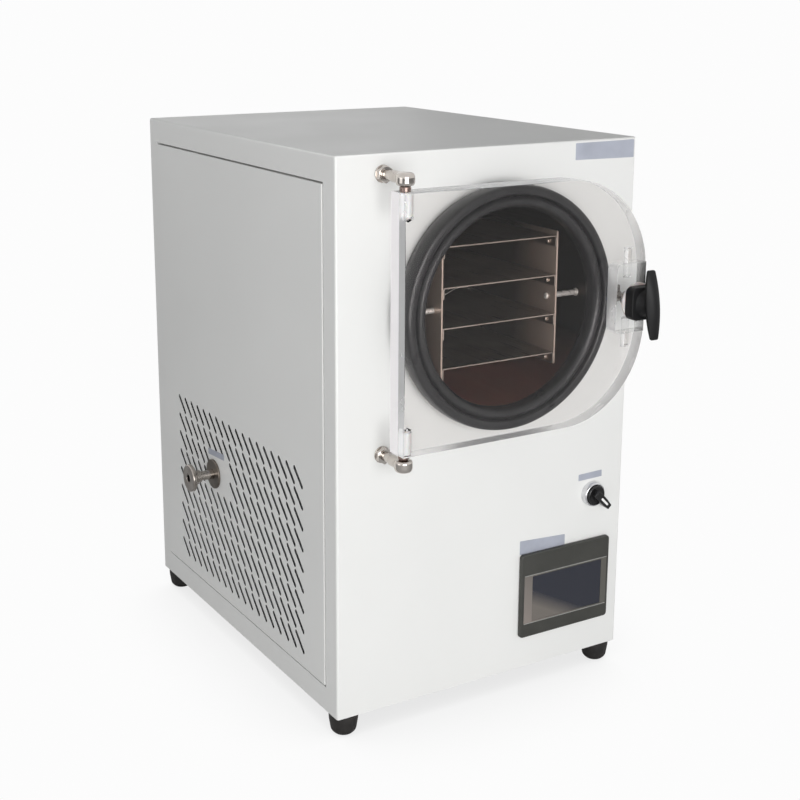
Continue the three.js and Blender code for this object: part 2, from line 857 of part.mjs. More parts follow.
/** Standoff that carries the rack in the drum: a rod with a foot at the wall and a screw in the plate. */
function standoff(side, y) {
  const wall = Math.sqrt(drumBore ** 2 - standoffFlange ** 2) - clearance - 0.3;
  const plate = rackWidth / 2 + clearance;
  const inner = rackWidth / 2 - rackSheet - clearance;
  const profile = [
    [0, inner - standoffHead],
    [3, inner - standoffHead],
    [3.8, inner - 1.6],
    [3.8, inner],
    [2, inner],
    [2, plate],
    [standoffRadius, plate],
    [standoffRadius, wall - 1.6],
    [standoffFlange, wall - 1.2],
    [standoffFlange, wall],
    [0, wall],
  ].map(([radius, reach]) => [radius, side * reach]);
  return turned(profile, "x", [chamberX, y, chamberHeight], 10);
}

// ---------------------------------------------------------------- hinges

/** One end of the door: its edge height, and the way that points off the door. */
const hingeEnds = [
  { end: "top", edge: doorTop, away: 1 },
  { end: "bottom", edge: doorBottom, away: -1 },
];

/** Ball-joint housing: a dome with its socket open towards the door, on a shank from the front face. */
function hingeJoint({ edge, away }) {
  const start = clearance + hingeCollarHeight + clearance;
  const end = start + hingeDomeHeight;
  const middle = start + hingeDomeHeight / 2;
  const socket = hingeBall + clearance;
  const dome = turned([
    [0, end],
    [hingeDomeRadius - 5, end - 0.4],
    [hingeDomeRadius - 1.5, end - 2.5],
    [hingeDomeRadius, end - 6],
    [hingeDomeRadius, start + 2],
    [hingeDomeRadius - 1.5, start],
    [0, start],
  ].map(([radius, height]) => [radius, edge + away * height]), "z", [hingeX, -doorMiddle, 0], 20);
  const shank = turned([
    [0, -doorMiddle + 2], [hingeSleeveRadius, -doorMiddle + 2], [hingeSleeveRadius, -hingeSleeveEnd],
    [hingeShankRadius, -hingeSleeveEnd + 2], [hingeShankRadius, sheet + weldNutHeight + 3],
    [0, sheet + weldNutHeight + 3],
  ], "y", [hingeX, 0, edge + away * middle], 16);
  const cavity = turned([
    [0, -socket], [socket * 0.71, -socket * 0.71], [socket, 0], [socket * 0.71, socket * 0.71], [0, socket],
  ], "z", [hingeX, -doorMiddle, edge + away * middle], 16);
  const mouth = turned(
    [[0, start - 1], [hingePinRadius + 1.6, start - 1], [hingePinRadius + 1.6, middle - 3], [0, middle - 3]]
      .map(([radius, height]) => [radius, edge + away * height]),
    "z", [hingeX, -doorMiddle, 0], 16,
  );
  return cut(join(dome, shank), cavity, mouth);
}

/** Hexagon nut on its washer, clamping the shank to the front face. */
function hingeNut({ edge, away }) {
  const height = edge + away * (2 * clearance + hingeCollarHeight + hingeDomeHeight / 2);
  const [near, far] = [clearance, clearance + hingeWasherHeight + hingeNutHeight];
  const nut = alongY(hexagon(hingeNutAcross, [hingeX, height]), -far, -near - hingeWasherHeight / 2);
  const washer = rod(hingeWasherRadius, -near - hingeWasherHeight, -near, "y", [hingeX, 0, height], 20);
  return cut(join(nut, washer), rod(hingeShankRadius + clearance, -far - 1, 0, "y", [hingeX, 0, height], 16));
}

/** Ball stud: the ball turns in the housing and the pin stands in the door's bush. */
function hingePin({ edge, away }) {
  const collar = clearance + hingeCollarHeight;
  const middle = collar + clearance + hingeDomeHeight / 2;
  const ball = hingeBall * 0.71;
  const profile = [
    [0, -hingeHoleDepth + 3], [hingePinRadius, -hingeHoleDepth + 4], [hingePinRadius, clearance],
    [hingeCollarRadius, clearance], [hingeCollarRadius, collar - 1], [hingeCollarRadius - 1.5, collar],
    [hingePinRadius, collar], [hingePinRadius, middle - ball - 1], [ball, middle - ball], [hingeBall, middle],
    [ball, middle + ball], [0, middle + hingeBall],
  ].map(([radius, height]) => [radius, edge + away * height]);
  return turned(profile, "z", [hingeX, -doorMiddle, 0], 14);
}

/** Nylon bush that lines the hole in the door's edge. */
function hingeBush({ edge, away }) {
  const outer = hingeHoleRadius - clearance;
  const [deep, shallow] = [edge - away * (hingeHoleDepth - 1), edge - away * 0.5];
  const [from, to] = [deep, shallow].sort((a, b) => a - b);
  return pipe(outer, bushBore, from, to, "z", [hingeX, -doorMiddle, 0], 16);
}

// ---------------------------------------------------------------- door

/** Clear acrylic slab: square at the hinge side, with large round corners at the latch side. */
function doorPanel() {
  const outline = new THREE.Shape();
  outline.moveTo(doorLeft, doorBottom);
  outline.lineTo(doorRight - doorCorner, doorBottom);
  outline.absarc(doorRight - doorCorner, doorBottom + doorCorner, doorCorner, -Math.PI / 2, 0);
  outline.lineTo(doorRight, doorTop - doorCorner);
  outline.absarc(doorRight - doorCorner, doorTop - doorCorner, doorCorner, 0, Math.PI / 2);
  outline.lineTo(doorLeft, doorTop);
  const slab = alongY(outline, -doorFront, -doorStandoff, 14);

  const half = latchBlockHeight / 2 + clearance;
  const notch = alongY(
    roundedBox(
      [latchBlockLeft - clearance, chamberHeight - half],
      [doorRight + latchBlockWidth, chamberHeight + half],
      latchNotchCorner,
    ),
    -doorFront - 1, -doorStandoff + 1, 3,
  );
  const hinges = hingeEnds.map(({ edge, away }) => turned([
    [0, 1], [hingeHoleRadius, 1], [hingeHoleRadius, -hingeHoleDepth], [0, -hingeHoleDepth - hingeDrillPoint],
  ].map(([radius, height]) => [radius, edge + away * height]), "z", [hingeX, -doorMiddle, 0], 16));
  const dowels = [-1, 1].map((way) => dowelRod(way, half - 1, half + dowelDepth, dowelRadius + clearance));
  return cut(slab, notch, ...hinges, ...dowels);
}

/** A hole on the latch's axis that clears a shaft of this radius. */
function latchHole(from, to, radius) {
  return rod(radius + clearance, from, to, "y", [handleX, 0, latchHeight], 16);
}

/** Clear block let into the door's edge, bored for the latch shaft and for its two dowels. */
function latchBlock() {
  const half = latchBlockHeight / 2;
  const outline = new THREE.Shape();
  outline.moveTo(latchBlockLeft + latchNotchCorner, chamberHeight - half);
  outline.lineTo(doorRight, chamberHeight - half);
  outline.lineTo(doorRight, chamberHeight + half);
  outline.lineTo(latchBlockLeft + latchNotchCorner, chamberHeight + half);
  outline.absarc(
    latchBlockLeft + latchNotchCorner, chamberHeight + half - latchNotchCorner, latchNotchCorner,
    Math.PI / 2, Math.PI,
  );
  outline.absarc(
    latchBlockLeft + latchNotchCorner, chamberHeight - half + latchNotchCorner, latchNotchCorner,
    Math.PI, 1.5 * Math.PI,
  );
  const dowels = [-1, 1].map((way) => dowelRod(way, half - dowelDepth, half + 1, dowelRadius + clearance));
  return cut(
    alongY(outline, -doorFront, -doorStandoff, 3),
    latchHole(-doorFront - 1, -doorStandoff + 1, latchShaftRadius),
    ...dowels,
  );
}

/** An upright rod on the dowels' line, from one reach to another above (1) or below (-1) the latch. */
function dowelRod(way, near, far, radius) {
  const [from, to] = [near, far].map((reach) => chamberHeight + way * reach).sort((a, b) => a - b);
  return rod(radius, from, to, "z", [dowelX, -doorMiddle, 0], 16);
}

/** Clear dowel between the block and the door. */
function latchDowel(way) {
  const seam = latchBlockHeight / 2;
  return dowelRod(way, seam - dowelDepth + 1, seam + dowelDepth - 1, dowelRadius);
}

/** White washer between the door and the handle's collar. */
function latchWasher() {
  const near = doorFront + clearance;
  return pipe(
    latchWasherRadius, latchShaftRadius + clearance, -near - latchWasherHeight, -near,
    "y", [handleX, 0, latchHeight], 24,
  );
}

/** Steel shaft of the latch: a collar behind the door, and a tail with a riveted end that holds the cam. */
function latchShaft() {
  const behind = doorStandoff - clearance;
  const rivet = camFront - camThickness - clearance;
  const reach = doorFront + 2 * clearance + latchWasherHeight + handleCollarHeight;
  const profile = [
    [0, rivet - 2],
    [latchTailRadius + 0.6, rivet - 2],
    [latchTailRadius + 1.6, rivet],
    [latchTailRadius, rivet],
    [latchTailRadius, camFront + clearance],
    [latchShaftRadius, camFront + clearance],
    [latchShaftRadius, behind - latchCollarHeight],
    [latchCollarRadius, behind - latchCollarHeight],
    [latchCollarRadius, behind],
    [latchShaftRadius, behind],
    [latchShaftRadius, reach],
    [0, reach],
  ].map(([radius, standoff]) => [radius, -standoff]);
  return turned(profile, "y", [handleX, 0, latchHeight], 14);
}

/** Cam finger on the shaft's tail; it points up when the door is free and turns left behind the keeper. */
function latchCam() {
  const outline = new THREE.Shape();
  const lean = Math.asin(camFinger / 2 / camHub);
  outline.moveTo(handleX + camFinger / 2, latchHeight + camReach);
  outline.lineTo(handleX - camFinger / 2, latchHeight + camReach);
  outline.absarc(handleX, latchHeight, camHub, Math.PI / 2 + lean, 2.5 * Math.PI - lean);
  return cut(
    alongY(outline, -camFront, -camFront + camThickness, 12),
    latchHole(-camFront - 1, 0, latchTailRadius),
  );
}

/** Keeper folded from steel strip and screwed to the front face: a foot, a web and a lip for the cam. */
function latchKeeper() {
  const lipEdge = handleX - camHub - 1.3;
  const webLeft = lipEdge - keeperLip;
  const [z0, z1] = [latchHeight - keeperHeight / 2, latchHeight + keeperHeight / 2];
  const lipBack = camFront + 0.5;
  const foot = block([webLeft, -clearance - keeperSheet, z0], [webLeft + keeperFoot, -clearance, z1]);
  const web = block([webLeft, -lipBack - keeperSheet, z0], [webLeft + keeperSheet, -clearance, z1]);
  const lip = block([webLeft, -lipBack - keeperSheet, z0], [lipEdge, -lipBack, z1]);
  const face = clearance + keeperSheet;
  const screws = [-1, 1].map((way) => turned(
    [[0, -face - 1.6], [2.2, -face - 1.6], [3.2, -face + 0.4], [0, -face + 0.4]],
    "y", [webLeft + keeperFoot - 5, 0, latchHeight + way * 5.5], 10,
  ));
  return join(foot, web, lip, ...screws);
}

/** Moulded T-handle: a square collar at the door, a waisted neck, and a crowned lens-shaped bar across it. */
function tHandle() {
  const base = doorFront + 2 * clearance + latchWasherHeight;
  const top = base + handleCollarHeight;
  const back = top + handleNeckLength;
  const ridge = back + handleBarEdge;
  const [left, right] = [handleX - handleCollarHalf, handleX + handleCollarHalf];
  const collar = alongY(
    roundedBox(
      [left, latchHeight - handleCollarHalf], [right, latchHeight + handleCollarHalf], handleCollarCorner,
    ),
    -top, -base, 4,
  );

  const sunk = 1;
  const side = handleBarWidth / 2 - 0.5;
  const flare = turned([
    [0, top - sunk], [handleNeckFoot, top - sunk], [handleNeckFoot, top + 0.6],
    [handleNeckWaist, top + handleNeckLength / 2], [handleNeckWaist, back + sunk], [0, back + sunk],
  ].map(([radius, standoff]) => [radius, -standoff]), "y", [handleX, 0, latchHeight], 24);
  const narrowing = new THREE.Shape();
  narrowing.moveTo(handleX + handleNeckFoot + 1, -top + sunk + 1);
  narrowing.lineTo(handleX - handleNeckFoot - 1, -top + sunk + 1);
  narrowing.lineTo(handleX - handleNeckFoot - 1, -top);
  narrowing.quadraticCurveTo(handleX - side, -top, handleX - side, -back);
  narrowing.lineTo(handleX - side, -back - sunk - 1);
  narrowing.lineTo(handleX + side, -back - sunk - 1);
  narrowing.lineTo(handleX + side, -back);
  narrowing.quadraticCurveTo(handleX + side, -top, handleX + handleNeckFoot + 1, -top);
  const neck = flare.intersect(
    alongZ(narrowing, latchHeight - handleCollarHalf, latchHeight + handleCollarHalf, 5),
  );

  const half = handleBarLength / 2;
  const [tip, belly] = [handleBarTip / 2, handleBarWidth - handleBarTip / 2];
  const [low, high] = [latchHeight - half, latchHeight + half];
  const [lowX, highX] = [handleX + handleBarLean, handleX - handleBarLean];
  const face = new THREE.Shape();
  face.moveTo(lowX - tip, low);
  face.lineTo(lowX + tip, low);
  face.quadraticCurveTo(handleX + belly, latchHeight, highX + tip, high);
  face.lineTo(highX - tip, high);
  face.quadraticCurveTo(handleX - belly, latchHeight, lowX - tip, low);
  const profile = new THREE.Shape();
  profile.moveTo(-back, low + handleBarEdge / 2);
  profile.lineTo(-back, high - handleBarEdge / 2);
  profile.lineTo(-back - handleBarEdge / 2, high);
  profile.lineTo(-ridge, high);
  profile.quadraticCurveTo(-ridge - 2 * handleBarCrown, latchHeight, -ridge, low);
  profile.lineTo(-back - handleBarEdge / 2, low);
  const section = new THREE.Shape();
  section.moveTo(handleX - belly, -back + 1);
  section.lineTo(handleX - belly, -ridge);
  section.quadraticCurveTo(handleX, -ridge - 2 * handleBarCrown, handleX + belly, -ridge);
  section.lineTo(handleX + belly, -back + 1);
  const bar = alongY(face, -ridge - handleBarCrown - 1, -back, 8)
    .intersect(alongX(profile, handleX - belly, handleX + belly, 8))
    .intersect(alongZ(section, low - 1, high + 1, 6));
  return cut(join(collar, neck, bar), latchHole(-top - clearance, -base + 1, latchShaftRadius));
}

// ---------------------------------------------------------------- vacuum port

const portPlace = [0, portDepth, portHeight];

/** Round plate against the side panel, round the port's tube. */
function portWallFlange() {
  const face = -panelProud - clearance;
  const outside = face - portPlateHeight;
  return turned([
    [portTubeRadius + clearance, face],
    [portPlateRadius, face],
    [portPlateRadius, outside + 0.8],
    [portPlateRadius - 0.8, outside],
    [portTubeRadius + clearance, outside],
    [portTubeRadius + clearance, face],
  ], "x", portPlace, 28);
}

/** Straight stainless tube of the port. */
function portTube() {
  const bore = portTubeRadius - portTubeWall;
  return pipe(portTubeRadius, bore, -portReach, portTubeInside, "x", portPlace, 16);
}

/** Outer clamp flange with its tapered back, hub and set screw. */
function portEndFlange() {
  const bore = portTubeRadius + clearance;
  const back = portFlangeRim + portFlangeTaper;
  const end = back + portHubLength;
  const ring = turned([
    [bore, 0],
    [portFlangeRadius - 0.6, 0],
    [portFlangeRadius, 0.6],
    [portFlangeRadius, portFlangeRim],
    [portFlangeRadius - 4, back],
    [portHubRadius + 1, back],
    [portHubRadius, back + 1],
    [portHubRadius, end - 1],
    [portHubRadius - 1, end],
    [bore, end],
    [bore, 0],
  ].map(([radius, reach]) => [radius, reach - portReach]), "x", portPlace, 28);
  const screw = rod(
    2, -portHubRadius - 1.5, -portTubeRadius - 0.8, "z",
    [back + portHubLength / 2 - portReach, portDepth, portHeight], 8,
  );
  return join(ring, screw);
}

/** Vacuum line inside the cabinet: a sleeve on the port's tube, then a bent pipe to the drum's outlet. */
function vacuumLine() {
  const end = drumDepth + insulationRear + clearance;
  const start = portTubeInside + clearance;
  const behind = end + lineBehindDrum;
  const route = [
    [start, portDepth, portHeight],
    [start + lineRun, portDepth, portHeight],
    [start + 2 * lineRun, portDepth + 0.6 * lineRun, portHeight + 0.9 * lineRun],
    [start + 2.5 * lineRun, behind - lineRun / 6, portHeight + 3.3 * lineRun],
    [start + 3.3 * lineRun, behind, outletHeight - 2.5 * lineRun],
    [chamberX - 1.2 * lineRun, behind, outletHeight - 0.6 * lineRun],
    [chamberX - lineRun / 6, behind - lineRun / 3, outletHeight],
    [chamberX, behind - lineRun, outletHeight],
    [chamberX, end, outletHeight],
  ];
  const outer = portTubeRadius + sleeveWall;
  const sleeve = pipe(outer, portTubeRadius + clearance, start - sleeveLength, start, "x", portPlace, 12);
  const collar = pipe(outer, outletBore, start, start + sleeveLength / 2, "x", portPlace, 12);
  return join(swept(route, portTubeRadius, 8, 16, outletBore), sleeve, collar);
}

// ---------------------------------------------------------------- controls

/** Front frame of the touch screen, with a bevelled edge and its window set off to the lower right. */
function screenBezel() {
  const [w, h] = [screenBezelWidth / 2, screenBezelHeight / 2];
  const rear = -clearance;
  const body = alongY(
    roundedBox([screenX - w, screenHeight - h], [screenX + w, screenHeight + h], screenBezelCorner),
    -screenBezelProud, rear, 3,
  );
  const [x, z] = [screenX + screenGlassRight, screenHeight - screenGlassDown];
  const window = block(
    [x - screenGlassWidth / 2, -screenBezelProud - 1, z - screenGlassHeight / 2],
    [x + screenGlassWidth / 2, 1, z + screenGlassHeight / 2],
  );
  return cut(body, window);
}

/** Glass of the touch screen, set just below its frame. */
function screenGlass() {
  const [x, z] = [screenX + screenGlassRight, screenHeight - screenGlassDown];
  const [w, h] = [screenGlassWidth / 2 - clearance, screenGlassHeight / 2 - clearance];
  const front = -screenBezelProud + screenGlassInset;
  return block([x - w, front, z - h], [x + w, front + screenGlassThickness, z + h]);
}

/** Electronics case of the touch screen, through the cut-out, with the pedestal that backs its glass. */
function screenHousing() {
  const [x, z] = [screenX + screenGlassRight, screenHeight - screenGlassDown];
  const flange = screenFlange + clearance;
  const [w, h] = [screenBezelWidth / 2 - flange, screenBezelHeight / 2 - flange];
  const [gw, gh] = [screenGlassWidth / 2 - clearance, screenGlassHeight / 2 - clearance];
  const glassBack = -screenBezelProud + screenGlassInset + screenGlassThickness;
  return join(
    block([screenX - w, 0, screenHeight - h], [screenX + w, screenHousingDepth, screenHeight + h]),
    block([x - gw, glassBack + clearance, z - gh], [x + gw, 1, z + gh]),
  );
}

/** Bright ring of the selector switch. */
function switchBezel() {
  return turned([
    [switchKnobRadius + clearance, -clearance], [switchBezelRadius, -clearance],
    [switchBezelRadius, -switchBezelProud + 1.4], [switchBezelRadius - 1.4, -switchBezelProud],
    [switchKnobRadius + clearance, -switchBezelProud], [switchKnobRadius + clearance, -clearance],
  ], "y", [switchX, 0, switchHeight], 28);
}

/** Knob of the selector: a drum with a tapered lever raised on it, pointing down to the right. */
function switchKnob() {
  const drum = rod(switchKnobRadius, -switchKnobProud, -clearance, "y", [switchX, 0, switchHeight], 24);
  const lever = new THREE.Shape([
    new THREE.Vector2(-switchLeverWidth / 2, -switchLeverHeel),
    new THREE.Vector2(switchLeverWidth / 2, -switchLeverHeel),
    new THREE.Vector2(switchLeverWidth / 2, switchKnobRadius),
    new THREE.Vector2(switchLeverTip / 2, switchLeverReach),
    new THREE.Vector2(-switchLeverTip / 2, switchLeverReach),
    new THREE.Vector2(-switchLeverWidth / 2, switchKnobRadius),
  ]);
  const foot = switchBezelProud + clearance;
  const geometry = new THREE.ExtrudeGeometry(lever, { depth: switchLeverProud - foot, bevelEnabled: false });
  geometry.rotateZ(-0.75 * Math.PI).applyMatrix4(upright);
  geometry.translate(switchX, -foot, switchHeight);
  return join(drum, solid(geometry));
}

/** Body of the selector behind the front face, with its neck through the hole. */
function switchBody() {
  const half = switchBodySize / 2;
  return join(
    rod(switchHoleRadius - clearance, clearance / 2, sheet + 2, "y", [switchX, 0, switchHeight], 20),
    block(
      [switchX - half, sheet + clearance, switchHeight - half],
      [switchX + half, switchBodyDepth, switchHeight + half],
    ),
  );
}

// ---------------------------------------------------------------- machinery inside

/** Hermetic compressor on its plate and four rubber grommets. */
function compressor() {
  const floor = panThickness + clearance;
  const plateTop = floor + compressorLift + compressorPlateThickness;
  const top = plateTop + compressorHeight;
  const bottom = plateTop - compressorPlateThickness / 2;
  const can = turned([
    [0, bottom],
    [compressorRadius * 0.8, bottom],
    [compressorRadius * 0.97, plateTop + compressorBase],
    [compressorRadius, plateTop + 2 * compressorBase],
    [compressorRadius, top - compressorCrown],
    [compressorRadius * 0.9, top - compressorCrown * 0.4],
    [compressorRadius * 0.55, top - compressorCrown * 0.07],
    [0, top],
  ], "z", [compressorX, compressorY, 0], 20);
  const [halfX, halfY] = [compressorPlateWidth / 2, compressorPlateDepth / 2];
  const plate = block(
    [compressorX - halfX, compressorY - halfY, floor + compressorLift],
    [compressorX + halfX, compressorY + halfY, plateTop],
  );
  const grommets = [[-1, -1], [-1, 1], [1, -1], [1, 1]].map(([a, b]) => rod(
    grommetRadius, floor, floor + compressorLift + compressorPlateThickness / 2, "z",
    [compressorX + a * (halfX - grommetInset), compressorY + b * (halfY - grommetInset), 0], 10,
  ));
  return join(can, plate, ...grommets);
}

/** Condenser: upright fins between two end plates, standing on the base pan behind the left vents. */
function condenser() {
  const [y0, y1] = [condenserFront, condenserFront + condenserLength];
  const [z0, z1] = [condenserBase, condenserBase + condenserHeight];
  const body = block([condenserX, y0, z0], [condenserX + condenserThickness, y1, z1]);
  const pitch = (condenserLength - finFrame) / finCount;
  const gaps = Array.from({ length: finCount }, (_, fin) => {
    const y = y0 + (finFrame + finThickness) / 2 + fin * pitch;
    return block(
      [condenserX - 1, y, z0 + finFrame],
      [condenserX + condenserThickness - finBacking, y + pitch - finThickness, z1 - finFrame],
    );
  });
  const legs = [y0 + condenserLegInset, y1 - condenserLegInset - condenserLeg].map((y) => block(
    [condenserX, y, panThickness + clearance],
    [condenserX + condenserThickness, y + condenserLeg, z0 + 1],
  ));
  return join(cut(body, ...gaps), ...legs);
}

/** Middle of the condenser's fan, and the plane where its frame starts. */
function fanPlace() {
  return {
    x: condenserX + condenserThickness + clearance,
    y: condenserFront + condenserLength / 2,
    z: condenserBase + condenserHeight / 2,
  };
}

/** Fan frame bolted to the condenser, carrying the motor on three arms. */
function fanFrame() {
  const { x, y, z } = fanPlace();
  const half = fanRadius + fanFrameMargin;
  const bore = fanRadius + fanGap;
  const rear = x + fanFrameRear;
  const frame = cut(
    block([x, y - half, z - half], [rear, y + half, z + half]),
    rod(bore, x - 1, rear + 1, "x", [0, y, z], 32),
  );
  const face = x + fanBladeInset + fanHubLength + fanArmThickness;
  const motor = rod(fanMotorRadius, face, face + fanMotorLength, "x", [0, y, z], 16);
  const shaft = rod(fanShaftRadius, x + fanBladeInset + 1, face + 1, "x", [0, y, z], 10);
  const arms = [0, 1, 2].map((step) => {
    const length = (bore + half) / 2;
    const geometry = new THREE.BoxGeometry(fanArmThickness, fanArmWidth, length);
    geometry.translate(rear - fanArmThickness / 2, 0, length / 2);
    geometry.rotateX((step * 2 * Math.PI) / 3);
    return solid(geometry.translate(0, y, z));
  });
  return join(frame, motor, shaft, ...arms);
}

/** Fan wheel on the motor's shaft: a hub with pitched blades. */
function fanBlades() {
  const { x, y, z } = fanPlace();
  const front = x + fanBladeInset;
  const bore = fanShaftRadius + clearance / 3;
  const hub = pipe(fanHubRadius, bore, front, front + fanHubLength, "x", [0, y, z], 16);
  const root = fanHubRadius * 0.85;
  const blades = Array.from({ length: fanBladeCount }, (_, blade) => {
    const geometry = new THREE.BoxGeometry(fanBladeThickness, fanBladeChord, fanRadius - 1 - root);
    geometry.rotateZ(Math.PI / 5.2);
    geometry.translate(0, 0, (fanRadius - 1 + root) / 2);
    geometry.rotateX((blade * 2 * Math.PI) / fanBladeCount);
    return solid(geometry.translate(front + fanHubLength / 2, y, z));
  });
  return join(hub, ...blades);
}

/** Foot of the filter drier, which stands beside the compressor. */
function drierPlace() {
  return [
    condenserX + condenserThickness + drierFromCondenser,
    condenserFront + condenserLength - suctionRise,
    panThickness + drierLift,
  ];
}

/** Copper filter drier with its two necks. */
function filterDrier() {
  const shoulder = drierRadius * 0.6;
  const end = drierLength + drierNeck;
  return turned([
    [0, -drierNeck],
    [liquidRadius, -drierNeck],
    [liquidRadius, 0],
    [drierRadius, shoulder],
    [drierRadius, drierLength - shoulder],
    [liquidRadius, drierLength],
    [liquidRadius, end],
    [0, end],
  ], "z", drierPlace(), 14);
}

/** Height under the coil where both refrigerant lines start, inside the insulation. */
function underCoil() {
  return chamberHeight - coilRadius() - coilSection / 2 - 2;
}

/** Suction line: from the coil's front end under the drum down to the compressor. */
function suctionLine() {
  const top = underCoil();
  const into = panThickness + 2 * clearance + compressorLift + compressorPlateThickness + compressorHeight;
  const out = insulationRadius - coilRadius();
  return swept([
    [chamberX, coilStart, top],
    [chamberX, coilStart, top - out * 0.4],
    [chamberX, coilStart, top - out * 0.8],
    [chamberX, coilStart, top - out * 1.3],
    [chamberX + 8, coilStart + suctionRise, top - out * 1.3 - suctionRise],
    [compressorX - suctionRise, compressorY - compressorRadius - suctionRise, into + suctionRise],
    [compressorX - 4, compressorY - suctionRise / 2, into + suctionRise],
    [compressorX, compressorY, into + suctionRise / 2],
    [compressorX, compressorY, into],
  ], suctionRadius, 8, 22);
}

/** Liquid line: from the drier's upper neck to the coil's rear end. */
function liquidLine() {
  const top = underCoil();
  const out = insulationRadius - coilRadius();
  const [x, y, z] = drierPlace();
  const neck = z + drierLength + drierNeck + clearance;
  return swept([
    [x, y, neck],
    [x, y, neck + suctionRise / 2],
    [x + suctionRise / 2, y, neck + 1.3 * suctionRise],
    [chamberX - suctionRise / 2, coilEnd, top - out * 1.3 - suctionRise],
    [chamberX, coilEnd, top - out * 1.3],
    [chamberX, coilEnd, top - out * 0.8],
    [chamberX, coilEnd, top - out * 0.4],
    [chamberX, coilEnd, top],
  ], liquidRadius, 6, 18);
}

/** Control box behind the touch screen, standing on the base pan. */
function controlBox() {
  const floor = panThickness + clearance;
  const [x1, y0] = [cabinetWidth - boxFromRight, boxFromFront];
  const [x0, y1, top] = [x1 - boxWidth, y0 + boxDepth, floor + boxHeight];
  const box = block([x0, y0, floor + boxFeet], [x1, y1, top]);
  const feet = block([x0 + boxFeet, y0 + boxFeet, floor], [x1 - boxFeet, y1 - boxFeet, floor + boxFeet + 1]);
  const lid = block(
    [x0 - boxLidOverhang, y0 - boxLidOverhang, top - boxLidDepth],
    [x1 + boxLidOverhang, y1 + boxLidOverhang, top + boxLidOverhang],
  );
  return join(box, feet, lid);
}

/** Power inlet in the rear panel, with its socket and three blades. */
function powerInlet() {
  const { x, z } = inletPlace();
  const face = panelRear + panelSheet + clearance;
  const front = face + inletProud;
  const [fw, fh] = [inletWidth / 2, inletHeight / 2];
  const flange = alongY(roundedBox([x - fw, z - fh], [x + fw, z + fh], 4), face, front, 3);
  const [w, h] = [inletSocketWidth / 2, inletSocketHeight / 2];
  const well = block([x - w - 2, front - inletSocketDepth - 6, z - h - 2], [x + w + 2, face + 1, z + h + 2]);
  const socket = block([x - w, front - inletSocketDepth, z - h], [x + w, front + 1, z + h]);
  const blades = [[-7, 2], [0, -2.5], [7, 2]].map(([across, up]) => block(
    [x + across - 1, front - inletSocketDepth - 1, z + up - 2],
    [x + across + 1, front - inletBladeInset, z + up + 2],
  ));
  return join(cut(join(flange, well), socket), ...blades);
}

// ---------------------------------------------------------------- assembly

piece("cabinet_shell", cabinetShell(), "paint");
piece("base_pan", basePan(), "paint");
placeSidePanel(piece("left_side_panel", sidePanel(true), "paint"), false);
placeSidePanel(piece("right_side_panel", sidePanel(false), "paint"), true);
piece("rear_panel", rearPanel(), "paint");
for (const place of footPlaces()) {
  piece(place.name, foot(place), "rubber");
}

piece("chamber_drum", chamberDrum(), "darkSteel");
piece("chamber_gasket", chamberGasket(), "rubber");
piece("drum_insulation", drumInsulation(), "foam");
piece("evaporator_coil", evaporatorCoil(), "copper");
piece("rack_plate_left", rackPlate(-1), "stainless");
piece("rack_plate_right", rackPlate(1), "stainless");
for (let number = 0; number < shelfCount; number += 1) {
  piece(`shelf_${number + 1}`, shelf(number), "stainless");
}
for (const [label, side] of [["left", -1], ["right", 1]]) {
  const [near, far] = standoffDepths();
  piece(`rack_standoff_${label}_front`, standoff(side, near), "stainless");
  piece(`rack_standoff_${label}_rear`, standoff(side, far), "stainless");
}

for (const place of hingeEnds) {
  piece(`hinge_joint_${place.end}`, hingeJoint(place), "stainless");
  piece(`hinge_nut_${place.end}`, hingeNut(place), "stainless");
  piece(`hinge_pin_${place.end}`, hingePin(place), "stainless");
  piece(`hinge_bush_${place.end}`, hingeBush(place), "nylon");
}
piece("door_panel", doorPanel(), "acrylic");
piece("latch_block", latchBlock(), "acrylic");
piece("latch_dowel_top", latchDowel(1), "acrylic");
piece("latch_dowel_bottom", latchDowel(-1), "acrylic");
piece("latch_washer", latchWasher(), "nylon");
piece("latch_shaft", latchShaft(), "stainless");
piece("latch_cam", latchCam(), "stainless");
piece("latch_keeper", latchKeeper(), "stainless");
piece("t_handle", tHandle(), "blackPlastic");

piece("port_wall_flange", portWallFlange(), "stainless");
piece("port_tube", portTube(), "stainless");
piece("port_end_flange", portEndFlange(), "stainless");
piece("vacuum_line", vacuumLine(), "stainless");

piece("screen_bezel", screenBezel(), "greyPlastic");
piece("screen_glass", screenGlass(), "glass");
piece("screen_housing", screenHousing(), "blackPlastic");
piece("switch_bezel", switchBezel(), "aluminium");
piece("switch_knob", switchKnob(), "blackPlastic");
piece("switch_body", switchBody(), "blackPlastic");

piece("compressor", compressor(), "blackPlastic");
piece("condenser", condenser(), "aluminium");
piece("fan_frame", fanFrame(), "blackPlastic");
piece("fan_blades", fanBlades(), "blackPlastic");
piece("filter_drier", filterDrier(), "copper");
piece("suction_line", suctionLine(), "copper");
piece("liquid_line", liquidLine(), "copper");
piece("control_box", controlBox(), "paint");
piece("power_inlet", powerInlet(), "blackPlastic");

// The machine stands on its feet, centred over the origin.
cabinet.updateMatrixWorld(true);
const extent = new THREE.Box3().setFromObject(cabinet, true);
const middle = extent.getCenter(new THREE.Vector3());
cabinet.position.set(-middle.x, -middle.y, -extent.min.z);

const freezeDryer = new THREE.Group();
freezeDryer.add(cabinet);

export default freezeDryer;
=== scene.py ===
# %% [markdown]
# # A bench-top freeze dryer
# The machine is a white sheet-metal cabinet with a round steel vacuum chamber behind a clear swing door.
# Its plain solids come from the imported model. This lesson dresses them: it gives each one a finish, and
# makes again in finer mesh the pieces that the eye rests on, such as the rubber gasket and the door.

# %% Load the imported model
import json
import math

import bmesh
import bpy
from mathutils import Matrix, Vector


